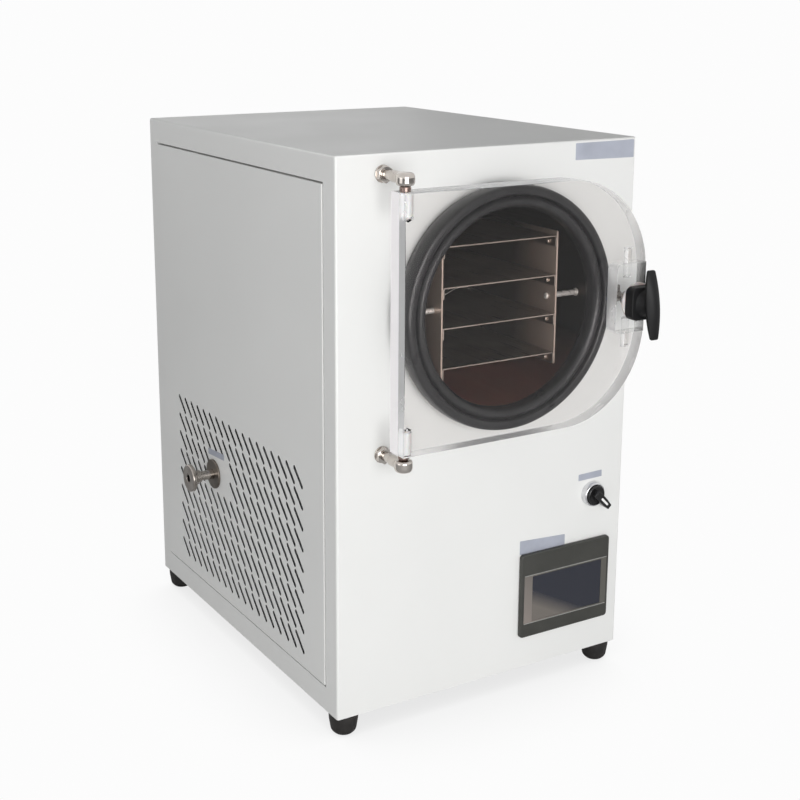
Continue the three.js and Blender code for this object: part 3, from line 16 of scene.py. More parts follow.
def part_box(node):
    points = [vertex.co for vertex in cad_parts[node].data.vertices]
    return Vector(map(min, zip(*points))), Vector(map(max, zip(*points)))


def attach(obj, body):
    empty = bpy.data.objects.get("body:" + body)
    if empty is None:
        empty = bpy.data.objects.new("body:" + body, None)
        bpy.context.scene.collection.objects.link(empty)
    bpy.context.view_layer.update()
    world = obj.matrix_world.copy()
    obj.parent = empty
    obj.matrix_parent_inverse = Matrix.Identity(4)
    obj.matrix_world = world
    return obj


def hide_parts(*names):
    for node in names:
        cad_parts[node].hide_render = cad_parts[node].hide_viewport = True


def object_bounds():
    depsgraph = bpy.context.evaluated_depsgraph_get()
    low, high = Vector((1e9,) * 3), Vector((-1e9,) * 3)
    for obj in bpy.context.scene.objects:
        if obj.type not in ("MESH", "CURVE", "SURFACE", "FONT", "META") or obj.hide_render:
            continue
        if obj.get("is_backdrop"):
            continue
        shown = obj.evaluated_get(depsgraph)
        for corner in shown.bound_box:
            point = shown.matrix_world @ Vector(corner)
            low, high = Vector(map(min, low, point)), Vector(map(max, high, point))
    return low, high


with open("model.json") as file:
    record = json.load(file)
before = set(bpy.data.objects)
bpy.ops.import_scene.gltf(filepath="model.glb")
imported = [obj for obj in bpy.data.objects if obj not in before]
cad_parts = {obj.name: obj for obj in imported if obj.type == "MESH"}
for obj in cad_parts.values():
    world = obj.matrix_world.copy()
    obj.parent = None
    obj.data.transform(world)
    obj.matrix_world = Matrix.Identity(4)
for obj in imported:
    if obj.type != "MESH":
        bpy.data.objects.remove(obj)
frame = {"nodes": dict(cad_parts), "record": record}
cad_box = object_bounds()
for plain in list(bpy.data.materials):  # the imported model's flat colours make way for real finishes
    bpy.data.materials.remove(plain)

# %% [markdown]
# ## Places
# A cabinet maker measures from the cabinet's own corner: to the right of its left side, back from its
# front face and up from the underside of its base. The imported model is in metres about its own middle,
# so one helper turns the maker's millimetres into a place in the model. Pieces take their sizes from
# the boxes of the nodes they dress, read through the same helper the other way round.

# %% Millimetres from the cabinet's corner
MM = 0.001
corner = Vector((*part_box("cabinet_shell")[0].xy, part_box("base_pan")[0].z))


def at(x, y, z):
    """A place in the model, in metres, from the maker's millimetres."""
    return corner + Vector((x, y, z)) * MM


def limits(node):
    """The lowest and highest corner of a node, in the maker's millimetres."""
    low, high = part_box(node)
    return (low - corner) / MM, (high - corner) / MM


def middle(node):
    """The middle of a node's box, in the maker's millimetres."""
    low, high = limits(node)
    return (low + high) / 2


cabinet_size = limits("cabinet_shell")[1]
print("cabinet", [round(v, 1) for v in cabinet_size])

# %% [markdown]
# ## Camera
# The machine is seen from its front left and a little from above, as a visitor who walks up to it would see it.
# A longish lens keeps the upright edges nearly parallel. The camera could be aimed with a constraint,
# but building its axes from three angles says exactly where it stands and how it is tilted.

# %% Camera
TURN, TILT, ROLL = math.radians(-30.65), math.radians(13.2), math.radians(0.12)
forward = Vector((-math.sin(TURN) * math.cos(TILT), math.cos(TURN) * math.cos(TILT), -math.sin(TILT)))
level = forward.cross(Vector((0, 0, 1))).normalized()
above = level.cross(forward)
side_axis = math.cos(ROLL) * level + math.sin(ROLL) * above
up_axis = math.cos(ROLL) * above - math.sin(ROLL) * level

camera_data = bpy.data.cameras.new("camera")
camera_data.sensor_width = 36
camera_data.lens = 62.53
camera_data.shift_x, camera_data.shift_y = 0.03, -0.10
camera_data.clip_end = 50
camera = bpy.data.objects.new("camera", camera_data)
bpy.context.scene.collection.objects.link(camera)
axes = Matrix((side_axis, up_axis, -forward)).transposed().to_4x4()
camera.matrix_world = Matrix.Translation(at(-685.2, -1239.3, 795.2)) @ axes
bpy.context.scene.camera = camera
print("camera stands", round((camera.location - at(200, 250, 300)).length, 2), "m from the cabinet")

# %% [markdown]
# ## Light
# The room is a plain white sweep. A wide soft lamp stands in front of the machine, a little to its left,
# and a small weak one at its left, so the front is brightest, the side light grey and the top darker. The sweep is seen
# as white by the camera, by glossy metal and through the clear door; to matt surfaces it only gives the
# dim even light of a room. Doing that with the Light Path node keeps the lamps at a plain level.

# %% A node tree helper, and the world
scene = bpy.context.scene
scene.view_settings.view_transform = "Standard"


def node(tree, kind, **settings):
    """A new node; its settings are attributes, and numbered inputs are given as i0, i1 and so on."""
    made = tree.nodes.new(kind)
    for key, value in settings.items():
        if key[0] == "i" and key[1:].isdigit():
            made.inputs[int(key[1:])].default_value = value
        else:
            setattr(made, key, value)
    return made


def link(tree, *pairs):
    """Joins outputs to inputs, pair by pair."""
    for source, target in pairs:
        tree.links.new(source, target)


def spread(tree, from_low, from_high, to_low=0.0, to_high=1.0):
    """A node that carries one range of numbers over to another."""
    made = node(tree, "ShaderNodeMapRange")
    limits_in_order = (from_low, from_high, to_low, to_high)
    for name, value in zip(("From Min", "From Max", "To Min", "To Max"), limits_in_order):
        made.inputs[name].default_value = value
    return made


def seen_directly(tree, *others):
    """1 for rays from the camera and the other named rays; 0 for the light that falls on matt surfaces."""
    path = node(tree, "ShaderNodeLightPath")
    total = path.outputs["Is Camera Ray"]
    for name in others:
        either = node(tree, "ShaderNodeMath", operation="MAXIMUM")
        link(tree, (total, either.inputs[0]), (path.outputs[name], either.inputs[1]))
        total = either.outputs[0]
    return total


ROOM_LIGHT = 0.34
BACKDROP_WHITE = 0.975
world = bpy.data.worlds.new("white_room")
scene.world = world
world.use_nodes = True
tree = world.node_tree
tree.nodes.clear()
room = node(tree, "ShaderNodeBackground", i0=(0.98, 0.99, 1.0, 1), i1=ROOM_LIGHT)
sweep = node(tree, "ShaderNodeBackground", i0=(1, 1, 1, 1), i1=BACKDROP_WHITE)
mixed = node(tree, "ShaderNodeMixShader")
output = node(tree, "ShaderNodeOutputWorld")
link(
    tree, (seen_directly(tree, "Is Glossy Ray", "Is Transmission Ray"), mixed.inputs[0]),
    (room.outputs[0], mixed.inputs[1]), (sweep.outputs[0], mixed.inputs[2]),
    (mixed.outputs[0], output.inputs[0]),
)
print("room light", ROOM_LIGHT, "backdrop", BACKDROP_WHITE)

# %% Lamps


def soft_lamp(name, place, target, width, height, watts, colour=(1, 1, 1)):
    """A wide rectangular lamp that faces a target."""
    data = bpy.data.lights.new(name, "AREA")
    data.shape = "RECTANGLE"
    data.size, data.size_y = width, height
    data.energy = watts
    data.color = colour
    lamp = bpy.data.objects.new(name, data)
    scene.collection.objects.link(lamp)
    lamp.location = place
    lamp.rotation_euler = (target - place).to_track_quat("-Z", "Y").to_euler()
    return lamp


front_lamp = soft_lamp("front_lamp", at(-500, -2300, 500), at(150, 100, 300), 1.8, 1.6, 50)
left_lamp = soft_lamp("left_lamp", at(-1900, -200, 300), at(0, 200, 150), 1.2, 1.0, 4.5)
print("lamps", round(front_lamp.data.energy), round(left_lamp.data.energy), "W")

# %% [markdown]
# Behind the machine to its right stands a grey card that only gloss can see. The cabinet's top is seen
# at a flat angle and mirrors the white sweep there; the card takes some of that sheen off its far end.

# %% Grey card
CARD_LEFT, CARD_RIGHT, CARD_BACK, CARD_TOP = 2000, 5600, 3000, 2400


def flat_sheet(name, corners):
    """A four-cornered sheet that stands in the room but is no part of the machine."""
    mesh = bpy.data.meshes.new(name)
    mesh.from_pydata(corners, [], [(0, 1, 2, 3)])
    sheet = bpy.data.objects.new(name, mesh)
    scene.collection.objects.link(sheet)
    sheet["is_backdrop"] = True
    return sheet


card_corners = ((CARD_LEFT, 0), (CARD_RIGHT, 0), (CARD_RIGHT, CARD_TOP), (CARD_LEFT, CARD_TOP))
card = flat_sheet("grey_card", [at(x, CARD_BACK, z) for x, z in card_corners])
card.visible_camera = card.visible_diffuse = card.visible_transmission = card.visible_shadow = False
card_finish = bpy.data.materials.new("grey_card")
card_finish.use_nodes = True
card_finish.node_tree.nodes["Principled BSDF"].inputs["Base Color"].default_value = (0.8, 0.8, 0.8, 1)
card.data.materials.append(card_finish)
print("card", [round(v, 1) for v in card.dimensions], "m")

# %% [markdown]
# ## Floor
# The floor is the same white as the sweep, and only the soft shadow round the feet shows where it is.
# Seen directly it glows white, less where the machine closes over it, which Ambient Occlusion measures;
# to matt surfaces it is a pale grey board that throws a little light back up.

# %% Floor
FLOOR_SIDE = 14.0
floor = flat_sheet("floor", [
    (x * FLOOR_SIDE / 2, y * FLOOR_SIDE / 2, 0) for x, y in ((-1, -1), (1, -1), (1, 1), (-1, 1))
])
floor_finish = bpy.data.materials.new("floor_sweep")
floor_finish.use_nodes = True
tree = floor_finish.node_tree
tree.nodes.clear()
board = node(tree, "ShaderNodeBsdfDiffuse", i0=(0.8, 0.8, 0.8, 1))
closeness = node(tree, "ShaderNodeAmbientOcclusion", samples=16)
closeness.inputs["Distance"].default_value = 0.22
depth = spread(tree, 0.0, 0.9, 0.78, BACKDROP_WHITE)
depth.interpolation_type = "SMOOTHSTEP"
glow = node(tree, "ShaderNodeEmission", i0=(1, 1, 1, 1))
mixed = node(tree, "ShaderNodeMixShader")
output = node(tree, "ShaderNodeOutputMaterial")
link(
    tree, (closeness.outputs["AO"], depth.inputs[0]), (depth.outputs[0], glow.inputs["Strength"]),
    (seen_directly(tree, "Is Transmission Ray"), mixed.inputs[0]),
    (board.outputs[0], mixed.inputs[1]), (glow.outputs[0], mixed.inputs[2]),
    (mixed.outputs[0], output.inputs[0]),
)
floor.data.materials.append(floor_finish)
print("floor side", FLOOR_SIDE, "m")

# %% [markdown]
# ## How a finish is made
# A real finish is never one flat colour: paint has a fine orange peel, rubber has dusty patches, steel
# has streaks. Each finish here starts from the Principled shader and gets its own fields: noise measured
# on the object itself, which steers colour, roughness and bump by small amounts. A number that is the
# same all over stays on the shader's own socket.

# %% Helpers for finishes


def shade(code):
    """The linear colour of a six-figure web colour."""
    parts = [int(code[i:i + 2], 16) / 255 for i in (0, 2, 4)]
    return tuple(v / 12.92 if v <= 0.04045 else ((v + 0.055) / 1.055) ** 2.4 for v in parts)


def new_finish(name, colour, roughness, metallic=0.0, **sockets):
    """A material with one Principled shader, its plain numbers set on the shader's own sockets."""
    material = bpy.data.materials.new(name)
    material.use_nodes = True
    shader = material.node_tree.nodes["Principled BSDF"]
    shader.inputs["Base Color"].default_value = (*shade(colour), 1)
    shader.inputs["Roughness"].default_value = roughness
    shader.inputs["Metallic"].default_value = metallic
    for key, value in sockets.items():
        shader.inputs[key.replace("_", " ")].default_value = value
    return material


def field(material, scale, stretch=(1, 1, 1), detail=3.0):
    """Noise on the object itself: scale is in patches per metre, stretched along the axes."""
    tree = material.node_tree
    where = node(tree, "ShaderNodeTexCoord")
    sized = node(tree, "ShaderNodeMapping")
    sized.inputs["Scale"].default_value = stretch
    noise = node(tree, "ShaderNodeTexNoise")
    noise.inputs["Scale"].default_value = scale
    noise.inputs["Detail"].default_value = detail
    link(tree, (where.outputs["Object"], sized.inputs[0]), (sized.outputs[0], noise.inputs["Vector"]))
    return noise.outputs[0]


def shader_of(material):
    """The material's Principled shader."""
    return material.node_tree.nodes["Principled BSDF"]


def tint(material, source, low, high, start=0.3, end=0.7):
    """The field steers the colour from one shade to another."""
    tree = material.node_tree
    ramp = node(tree, "ShaderNodeValToRGB")
    for stop, position, code in zip(ramp.color_ramp.elements, (start, end), (low, high)):
        stop.position, stop.color = position, (*shade(code), 1)
    link(tree, (source, ramp.inputs[0]), (ramp.outputs[0], shader_of(material).inputs["Base Color"]))


def vary(material, source, low, high):
    """The field steers the roughness between two values."""
    tree = material.node_tree
    steered = spread(tree, 0.3, 0.7, low, high)
    link(tree, (source, steered.inputs[0]), (steered.outputs[0], shader_of(material).inputs["Roughness"]))


def emboss(material, source, height, strength):
    """The field raises the surface by up to height, in millimetres."""
    tree = material.node_tree
    bump = node(tree, "ShaderNodeBump")
    bump.inputs["Strength"].default_value = strength
    bump.inputs["Distance"].default_value = height * MM
    link(tree, (source, bump.inputs["Height"]), (bump.outputs[0], shader_of(material).inputs["Normal"]))


def slope(material, start, end):
    """A field that rises from 0 at one place to 1 at another, both in the maker's millimetres."""
    tree = material.node_tree
    where = node(tree, "ShaderNodeTexCoord")
    first, way = at(*start), at(*end) - at(*start)
    from_first = node(tree, "ShaderNodeVectorMath", operation="SUBTRACT")
    from_first.inputs[1].default_value = first
    along = node(tree, "ShaderNodeVectorMath", operation="DOT_PRODUCT")
    along.inputs[1].default_value = way / way.length_squared
    link(tree, (where.outputs["Object"], from_first.inputs[0]), (from_first.outputs[0], along.inputs[0]))
    return along.outputs["Value"]


def surface(name, colour, roughness, metallic=0.0, tones=None, shine=None, relief=None, **sockets):
    """A finish and its fields: tones (dark, light, scale), shine (low, high, scale) and relief (height,
    strength, scale). A last entry may shape the field's noise."""
    material = new_finish(name, colour, roughness, metallic, **sockets)
    for steer, recipe in ((tint, tones), (vary, shine), (emboss, relief)):
        if recipe:
            first, second, scale, *shaping = recipe
            steer(material, field(material, scale, **(shaping[0] if shaping else {})), first, second)
    return material


print("finish helpers ready")

# %% [markdown]
# ## Powder coat
# The cabinet is powder coated in off-white. Powder melts into a skin with a faint orange peel and a
# satin shine. A fine bump with low height gives the peel, and a slow field moves the shine a little, as
# handled sheet metal shows. The base pan had a coat of its own and reads slightly warmer.

# %% Powder coat
cabinet_paint = surface(
    "cabinet_paint", "ECECEA", 0.42, tones=("E9E9E7", "EEEEEC", 3.0), shine=(0.36, 0.47, 9.0),
    relief=(0.05, 0.35, 520.0, dict(detail=2.0)),
)

pan_paint = surface(
    "pan_paint", "E4E2DE", 0.45, tones=("E0DEDA", "E8E6E2", 5.0),
    relief=(0.05, 0.35, 520.0, dict(detail=2.0)),
)
print("paints", cabinet_paint.name, pan_paint.name)

# %% [markdown]
# ## Rubber and foam
# The gasket is moulded rubber: dark grey, half matt, with a dusty bloom and small moulding specks. The
# feet are harder and blacker. The foam jacket inside is hardly seen and is a plain pale yellow.

# %% Rubber and foam
gasket_rubber = surface(
    "gasket_rubber", "242426", 0.42, Specular_IOR_Level=0.32, Coat_Weight=0.14, Coat_Roughness=0.2,
    tones=("1A1A1C", "252527", 26.0, dict(detail=5.0)), shine=(0.26, 0.42, 60.0, dict(detail=4.0)),
    relief=(0.006, 0.12, 420.0, dict(detail=3.0)),
)

foot_rubber = surface(
    "foot_rubber", "1A1817", 0.55, tones=("151312", "211E1C", 120.0), relief=(0.06, 0.4, 900.0),
)

foam = surface(
    "foam", "E3D9B8", 0.9, tones=("D9CDA6", "EAE2C6", 90.0, dict(detail=4.0)), relief=(0.4, 1.0, 400.0),
)
filter_foam = surface(
    "filter_foam", "0C0C0C", 0.95, tones=("070707", "141414", 900.0), relief=(0.3, 0.6, 900.0),
)
print("rubbers", gasket_rubber.name, foot_rubber.name)

# %% [markdown]
# ## Steels
# Rolled stainless steel has fine streaks along its grain. Noise stretched far along one axis makes them, steering
# roughness. The chamber is turned and darker, with a painted warm reflection low down that turns dark higher up; the
# rack's plates are bright at the front, with painted shade deeper in; the hinges and the port are nickel plated and
# nearly smooth.

# %% Steels
GRAIN = 420.0
chamber_steel = surface(
    "chamber_steel", "6E625C", 0.36, 1.0, shine=(0.3, 0.46, GRAIN, dict(stretch=(1, 0.02, 1))),
)
# Painted warm reflection: the steel is light and warm low in the chamber and turns dark higher up.
tint(chamber_steel, slope(chamber_steel, (200, 100, 330), (200, 100, 470)), "F0B5A4", "423A36", 0.1, 0.62)

rack_steel = surface(
    "rack_steel", "A89A90", 0.3, 1.0, tones=("9A8D84", "B2A69D", 14.0),
    shine=(0.26, 0.42, GRAIN, dict(stretch=(1, 0.02, 1))),
)

plate_finish_painted_shade = surface(
    "rack_plate_steel", "B4A094", 0.36, 0.55, shine=(0.3, 0.44, GRAIN, dict(stretch=(1, 0.02, 1))),
)
# Painted shade: the plates are light at the chamber's mouth and darken deeper in.
tint(plate_finish_painted_shade, slope(plate_finish_painted_shade, (200, -10, 400), (200, 75, 400)), "C4B0A3", "47403C", 0.0, 1.0)

spacer_finish = surface(
    "spacer_steel", "E0DAD4", 0.3, 0.5, tones=("D2CBC5", "ECE7E2", 90.0), shine=(0.22, 0.38, 300.0),
)

hinge_steel = surface(
    "hinge_steel", "C4BEB8", 0.09, 1.0, tones=("BAB3AD", "CEC8C2", 90.0), shine=(0.06, 0.14, 300.0),
)

collar_steel = surface(
    "collar_steel", "8C7A73", 0.28, 1.0, tones=("7C6B64", "9B8983", 200.0), shine=(0.22, 0.36, 500.0),
)

port_steel = surface(
    "port_steel", "A8A19B", 0.14, 1.0, tones=("989089", "B8B2AC", 60.0),
    shine=(0.1, 0.24, GRAIN, dict(stretch=(0.05, 1, 1))),
)

latch_steel = surface(
    "latch_steel", "9A9692", 0.28, 1.0, tones=("8E8A86", "A6A29E", 120.0), shine=(0.2, 0.36, 400.0),
)

switch_ring = surface(
    "switch_ring", "DADADC", 0.2, 1.0, shine=(0.16, 0.3, 700.0), tones=("D0D0D3", "E2E2E4", 150.0),
)

copper = surface("copper", "B4704B", 0.3, 1.0, tones=("9E5E3D", "C07C57", 60.0), shine=(0.24, 0.42, 300.0))

condenser_fins = surface(
    "condenser_fins", "A6A8AA", 0.42, 1.0, tones=("98999B", "B2B4B6", 80.0), shine=(0.36, 0.5, 200.0),
)
print("steels", len([m for m in bpy.data.materials if "steel" in m.name]))

# %% [markdown]
# ## Plastics, glass and clear acrylic
# The door is a thick slab of clear acrylic, which bends light as real acrylic does: refraction draws the bright and
# grey bands in its edges by itself, so it needs no painted lines. The handle, the knob and the screen's frame are
# moulded with a fine leather-like grain. The screen is dark glass with a painted reflection, lighter and browner
# towards its lower left.

# %% Plastics, glass and clear acrylic
clear_acrylic = surface(
    "clear_acrylic", "F2F0EF", 0.02, IOR=1.49, Transmission_Weight=1.0, Specular_Tint=(0.4, 0.4, 0.4, 1),
    shine=(0.0, 0.02, 6.0),
)

block_acrylic = surface(
    "block_acrylic", "FCFCFC", 0.02, IOR=1.49, Transmission_Weight=1.0, Specular_Tint=(0.4, 0.4, 0.4, 1),
    shine=(0.0, 0.02, 6.0),
)

nylon = surface(
    "nylon", "E9DEDB", 0.35, Subsurface_Weight=0.2, tones=("E3D6D3", "EFE6E3", 160.0),
    shine=(0.3, 0.42, 300.0),
)

handle_plastic = surface(
    "handle_plastic", "101011", 0.5, Specular_IOR_Level=0.3, tones=("0E0E0F", "151516", 60.0),
    relief=(0.05, 0.35, 1500.0, dict(detail=2.0)),
)

knob_plastic = surface(
    "knob_plastic", "121213", 0.25, tones=("0F0F10", "19191A", 90.0),
    relief=(0.03, 0.3, 1500.0, dict(detail=2.0)),
)

black_plastic = surface(
    "black_plastic", "232324", 0.45, tones=("1D1D1E", "2A2A2B", 70.0), relief=(0.05, 0.35, 1200.0),
)

screen_frame = surface(
    "screen_frame", "383834", 0.5, tones=("343430", "3D3D39", 30.0),
    relief=(0.05, 0.4, 1400.0, dict(detail=2.0)),
)

screen_glass = surface(
    "screen_glass", "1C1F2C", 0.12, Coat_Weight=0.6, Coat_Roughness=0.03,
    shine=(0.07, 0.2, 24.0, dict(detail=4.0)),
)
# Painted reflection: the glass is lighter and browner towards its lower left.
tint(screen_glass, slope(screen_glass, (266, 0, 58), (300, 0, 124)), "6E6862", "1D202D", 0.28, 0.52)
print("clear and moulded finishes ready")

# %% [markdown]
# ## Enamels and tape
# The compressor is enamelled black, the control box grey. Small blank tags are a pale blue-grey film.

# %% Enamels and tape
compressor_paint = surface(
    "compressor_paint", "202022", 0.35, tones=("1B1B1D", "28282A", 20.0), relief=(0.08, 0.4, 300.0),
)

control_box_paint = surface(
    "control_box_paint", "B9BBB8", 0.5, tones=("B1B3B0", "C1C3C0", 20.0), relief=(0.05, 0.4, 500.0),
)

tag_film = surface("tag_film", "ADB1BD", 0.4, tones=("A6AAB6", "B4B8C4", 40.0), shine=(0.32, 0.48, 70.0))
print("all finishes", len(bpy.data.materials))

# %% [markdown]
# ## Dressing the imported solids
# Sheet-metal parts and the machinery behind them have the right shape already, so their nodes stay and
# take a finish by the slot that the record names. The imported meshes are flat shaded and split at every
# edge. A small Geometry Nodes modifier welds them and marks only real corners as sharp, and a Weighted
# Normal modifier keeps flat faces flat beside a bend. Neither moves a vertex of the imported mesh.

# %% Modifiers for smooth bends
SHARP_EDGE = math.radians(32)


def smoothing_nodes():
    """A Geometry Nodes group that welds a mesh and shades it smooth but for its sharp edges."""
    group = bpy.data.node_groups.new("smooth_bends", "GeometryNodeTree")
    group.interface.new_socket("Geometry", in_out="INPUT", socket_type="NodeSocketGeometry")
    group.interface.new_socket("Geometry", in_out="OUTPUT", socket_type="NodeSocketGeometry")
    start, end = node(group, "NodeGroupInput"), node(group, "NodeGroupOutput")
    weld = node(group, "GeometryNodeMergeByDistance")
    weld.inputs["Distance"].default_value = 0.01 * MM
    smooth = node(group, "GeometryNodeSetShadeSmooth", domain="FACE")
    corners = node(group, "GeometryNodeSetShadeSmooth", domain="EDGE")
    corners.inputs["Shade Smooth"].default_value = False
    angle = node(group, "GeometryNodeInputMeshEdgeAngle")
    sharp = node(group, "FunctionNodeCompare", data_type="FLOAT", operation="GREATER_THAN")
    sharp.inputs["B"].default_value = SHARP_EDGE
    link(
        group, (start.outputs[0], weld.inputs[0]), (weld.outputs[0], smooth.inputs["Geometry"]),
        (smooth.outputs[0], corners.inputs["Geometry"]), (angle.outputs["Unsigned Angle"], sharp.inputs["A"]),
        (sharp.outputs[0], corners.inputs["Selection"]), (corners.outputs[0], end.inputs[0]),
    )
    return group


smooth_bends = smoothing_nodes()


def smooth_piece(piece):
    """Gives a piece smooth bends and flat flats."""
    bends = piece.modifiers.new("smooth_bends", "NODES")
    bends.node_group = smooth_bends
    flats = piece.modifiers.new("flat_faces", "WEIGHTED_NORMAL")
    flats.keep_sharp = True
    flats.weight = 80


print("modifiers ready, corners sharper than", round(math.degrees(SHARP_EDGE)), "degrees stay sharp")

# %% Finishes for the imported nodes
slot_of = {part["node"]: part["material_slot"] for part in frame["record"]["subparts"]}
for name, solid in frame["nodes"].items():
    solid.data.materials.clear()
    solid.data.materials.append(bpy.data.materials[slot_of[name]])
    smooth_piece(solid)
print("dressed", len(slot_of), "packed nodes")

# %% [markdown]
# The inside of the sheet metal is given a near-black finish as painted shade, so the vents look black from outside; the
# walls of each slot are painted dark the same way, and only their rim shows white, where the coat wraps a little way
# into the cut. Faces are picked by where they lie and take the painted shade or the rim finish as extra slots; no
# vertex moves.

# %% Painted shade inside the cabinet
# Painted shade: this near-black finish goes on the cabinet's inner faces and the slot walls, where the inside lies in
# shade.
painted_inner_shade = surface("painted_inner_shade", "141313", 0.8, tones=("100F0F", "191818", 30.0), relief=(0.05, 0.4, 400.0))
SKIN, TRAY_SKIN = 1.4, 0.9
COAT_WRAP = 0.3


def rim_and_painted_shade(name, start, inward):
    """White for the first fraction of a millimetre along x from a panel's face, painted shade beyond it."""
    rim = new_finish(name, "101010", 0.7)
    tree = rim.node_tree
    where = node(tree, "ShaderNodeTexCoord")
    parts = node(tree, "ShaderNodeSeparateXYZ")
    depth = spread(tree, start, start + inward * 2 * COAT_WRAP * MM)
    link(tree, (where.outputs["Object"], parts.inputs[0]), (parts.outputs["X"], depth.inputs[0]))
    tint(rim, depth.outputs[0], "F4F4F2", "0A0A0A", 0.45, 0.55)
    return rim


def paint_inner_shade(solid, low, high, side=""):
    """Gives a sheet part's inner faces, and the walls of a side panel's slots but for their rims, a near-black painted
    shade.
    """
    solid.data.materials.append(painted_inner_shade)
    if side:
        outer, inward = (low.x, 1) if side == "left" else (high.x, -1)
        solid.data.materials.append(rim_and_painted_shade(f"{side}_slot_rim_painted_shade", at(outer, 0, 0).x, inward))
    for face in solid.data.polygons:
        corners = [(solid.data.vertices[i].co - corner) / MM for i in face.vertices]
        where = sum(corners, Vector()) / len(corners)
        edge = min(where.y - low.y, high.y - where.y, where.z - low.z, high.z - where.z)
        if side:
            depth = min(inward * (c.x - outer) for c in corners)
        else:
            depth = min(
                min(c.x - low.x, high.x - c.x, c.y - low.y, high.y - c.y, high.z - c.z) for c in corners
            )
        if depth > (TRAY_SKIN if side == "left" else SKIN):
            face.material_index = 1
        elif side and abs(face.normal.x) < 0.5 and edge > 3:
            face.material_index = 2
    return [sum(face.material_index == k for face in solid.data.polygons) for k in (0, 1, 2)]


for name, side in (("cabinet_shell", ""), ("right_side_panel", "right")):
    print(name, "painted, shade_painted and rim faces", paint_inner_shade(frame["nodes"][name], *limits(name), side))

# %% [markdown]
# ## Tools for new pieces
# Three ways of making cover nearly every piece of such a machine. A turned piece is an outline spun
# round an axis, as on a lathe. A slab is an outline cut from sheet or block, with its rims eased by a
# bevel. A wire follows a line. Easing matters more than it sounds: a corner of half a millimetre is what
# catches the light. Holes are cut with exact booleans, as they would be drilled.

# %% Turned pieces


def eased(outline, ease, closed=True, steps=4):
    """The outline with its corners rounded; a third number on a point is that corner's own ease."""
    rounded = []
    for index, point in enumerate(outline):
        here = Vector(point[:2])
        before = Vector(outline[index - 1][:2]) - here
        after = Vector(outline[(index + 1) % len(outline)][:2]) - here
        reach = min(point[2] if len(point) > 2 else ease, 0.45 * before.length, 0.45 * after.length)
        if reach < 0.02 or (not closed and index in (0, len(outline) - 1)):
            rounded.append(here)
            continue
        first, last = here + before.normalized() * reach, here + after.normalized() * reach
        for step in range(steps + 1):
            t = step / steps
            rounded.append(first * (1 - t) ** 2 + here * 2 * t * (1 - t) + last * t * t)
    return rounded


def place_on(axis, across, up, along):
    """A maker's place from two measures across an axis and one along it."""
    return {"x": (along, across, up), "y": (across, along, up), "z": (across, up, along)}[axis]


def made(name, form):
    """A new object from a bmesh form, with its faces turned outwards."""
    bmesh.ops.recalc_face_normals(form, faces=form.faces)
    mesh = bpy.data.meshes.new(name)
    form.to_mesh(mesh)
    form.free()
    piece = bpy.data.objects.new(name, mesh)
    scene.collection.objects.link(piece)
    return piece


def turned(name, outline, axis, centre, ease=0.4, steps=96):
    """Spins an outline of (radius, place along the axis) round an axis through centre."""
    on_axis = outline[0][0] == 0
    profile = eased(outline, ease, closed=not on_axis)
    form = bmesh.new()
    rings = []
    for radius, along in profile:
        count = steps if radius > 1e-6 else 1
        rings.append([
            form.verts.new(at(*place_on(
                axis,
                centre[0] + radius * math.cos(math.tau * step / steps),
                centre[1] + radius * math.sin(math.tau * step / steps), along,
            )))
            for step in range(count)
        ])
    pairs = list(zip(rings, rings[1:])) + ([] if on_axis else [(rings[-1], rings[0])])
    for near, far in pairs:
        for step in range(steps):
            turn = (step + 1) % steps
            corners = [near[step % len(near)], near[turn % len(near)]]
            corners = list(dict.fromkeys(corners + [far[turn % len(far)], far[step % len(far)]]))
            if len(corners) > 2:
                form.faces.new(corners)
    return made(name, form)


def bored(axis, centre, radius, start, end, steps=48):
    """A plain round tool for cutting a hole along an axis."""
    return turned("hole", [(0, start), (radius, start), (radius, end), (0, end)], axis, centre, 0, steps)


print("turning tool ready")

# %% Slabs, cuts and wires


def arc(centre, radius, start, end, steps=12):
    """Points on an arc; angles are in degrees, anticlockwise from the first axis."""
    angles = [math.radians(start + (end - start) * step / steps) for step in range(steps + 1)]
    return [(centre[0] + radius * math.cos(a), centre[1] + radius * math.sin(a)) for a in angles]


def rectangle(low, high, grow=0.0):
    """The corners of a rectangle, grown a little all round."""
    (a0, b0), (a1, b1) = low, high
    return [(a0 - grow, b0 - grow), (a1 + grow, b0 - grow), (a1 + grow, b1 + grow), (a0 - grow, b1 + grow)]


def round_rectangle(low, high, radius, steps=8):
    """A rectangle between two corners, with round corners."""
    (a0, b0), (a1, b1) = low, high
    return [
        *arc((a1 - radius, b0 + radius), radius, -90, 0, steps),
        *arc((a1 - radius, b1 - radius), radius, 0, 90, steps),
        *arc((a0 + radius, b1 - radius), radius, 90, 180, steps),
        *arc((a0 + radius, b0 + radius), radius, 180, 270, steps),
    ]


def slab(name, outline, axis, start, end, ease=0.5, segments=3):
    """Carries an outline along an axis from start to end, and eases the rims of its two faces."""
    form = bmesh.new()
    loops = [
        [form.verts.new(at(*place_on(axis, a, b, along))) for a, b in outline] for along in (start, end)
    ]
    ends = [form.faces.new(loops[0]), form.faces.new(loops[1])]
    count = len(outline)
    for step in range(count):
        turn = (step + 1) % count
        form.faces.new([loops[0][step], loops[0][turn], loops[1][turn], loops[1][step]])
    if ease:
        bmesh.ops.recalc_face_normals(form, faces=form.faces)
        bmesh.ops.bevel(
            form, geom=[edge for face in ends for edge in face.edges], offset=ease * MM,
            segments=segments, profile=0.5, affect="EDGES", clamp_overlap=True,
        )
    return made(name, form)


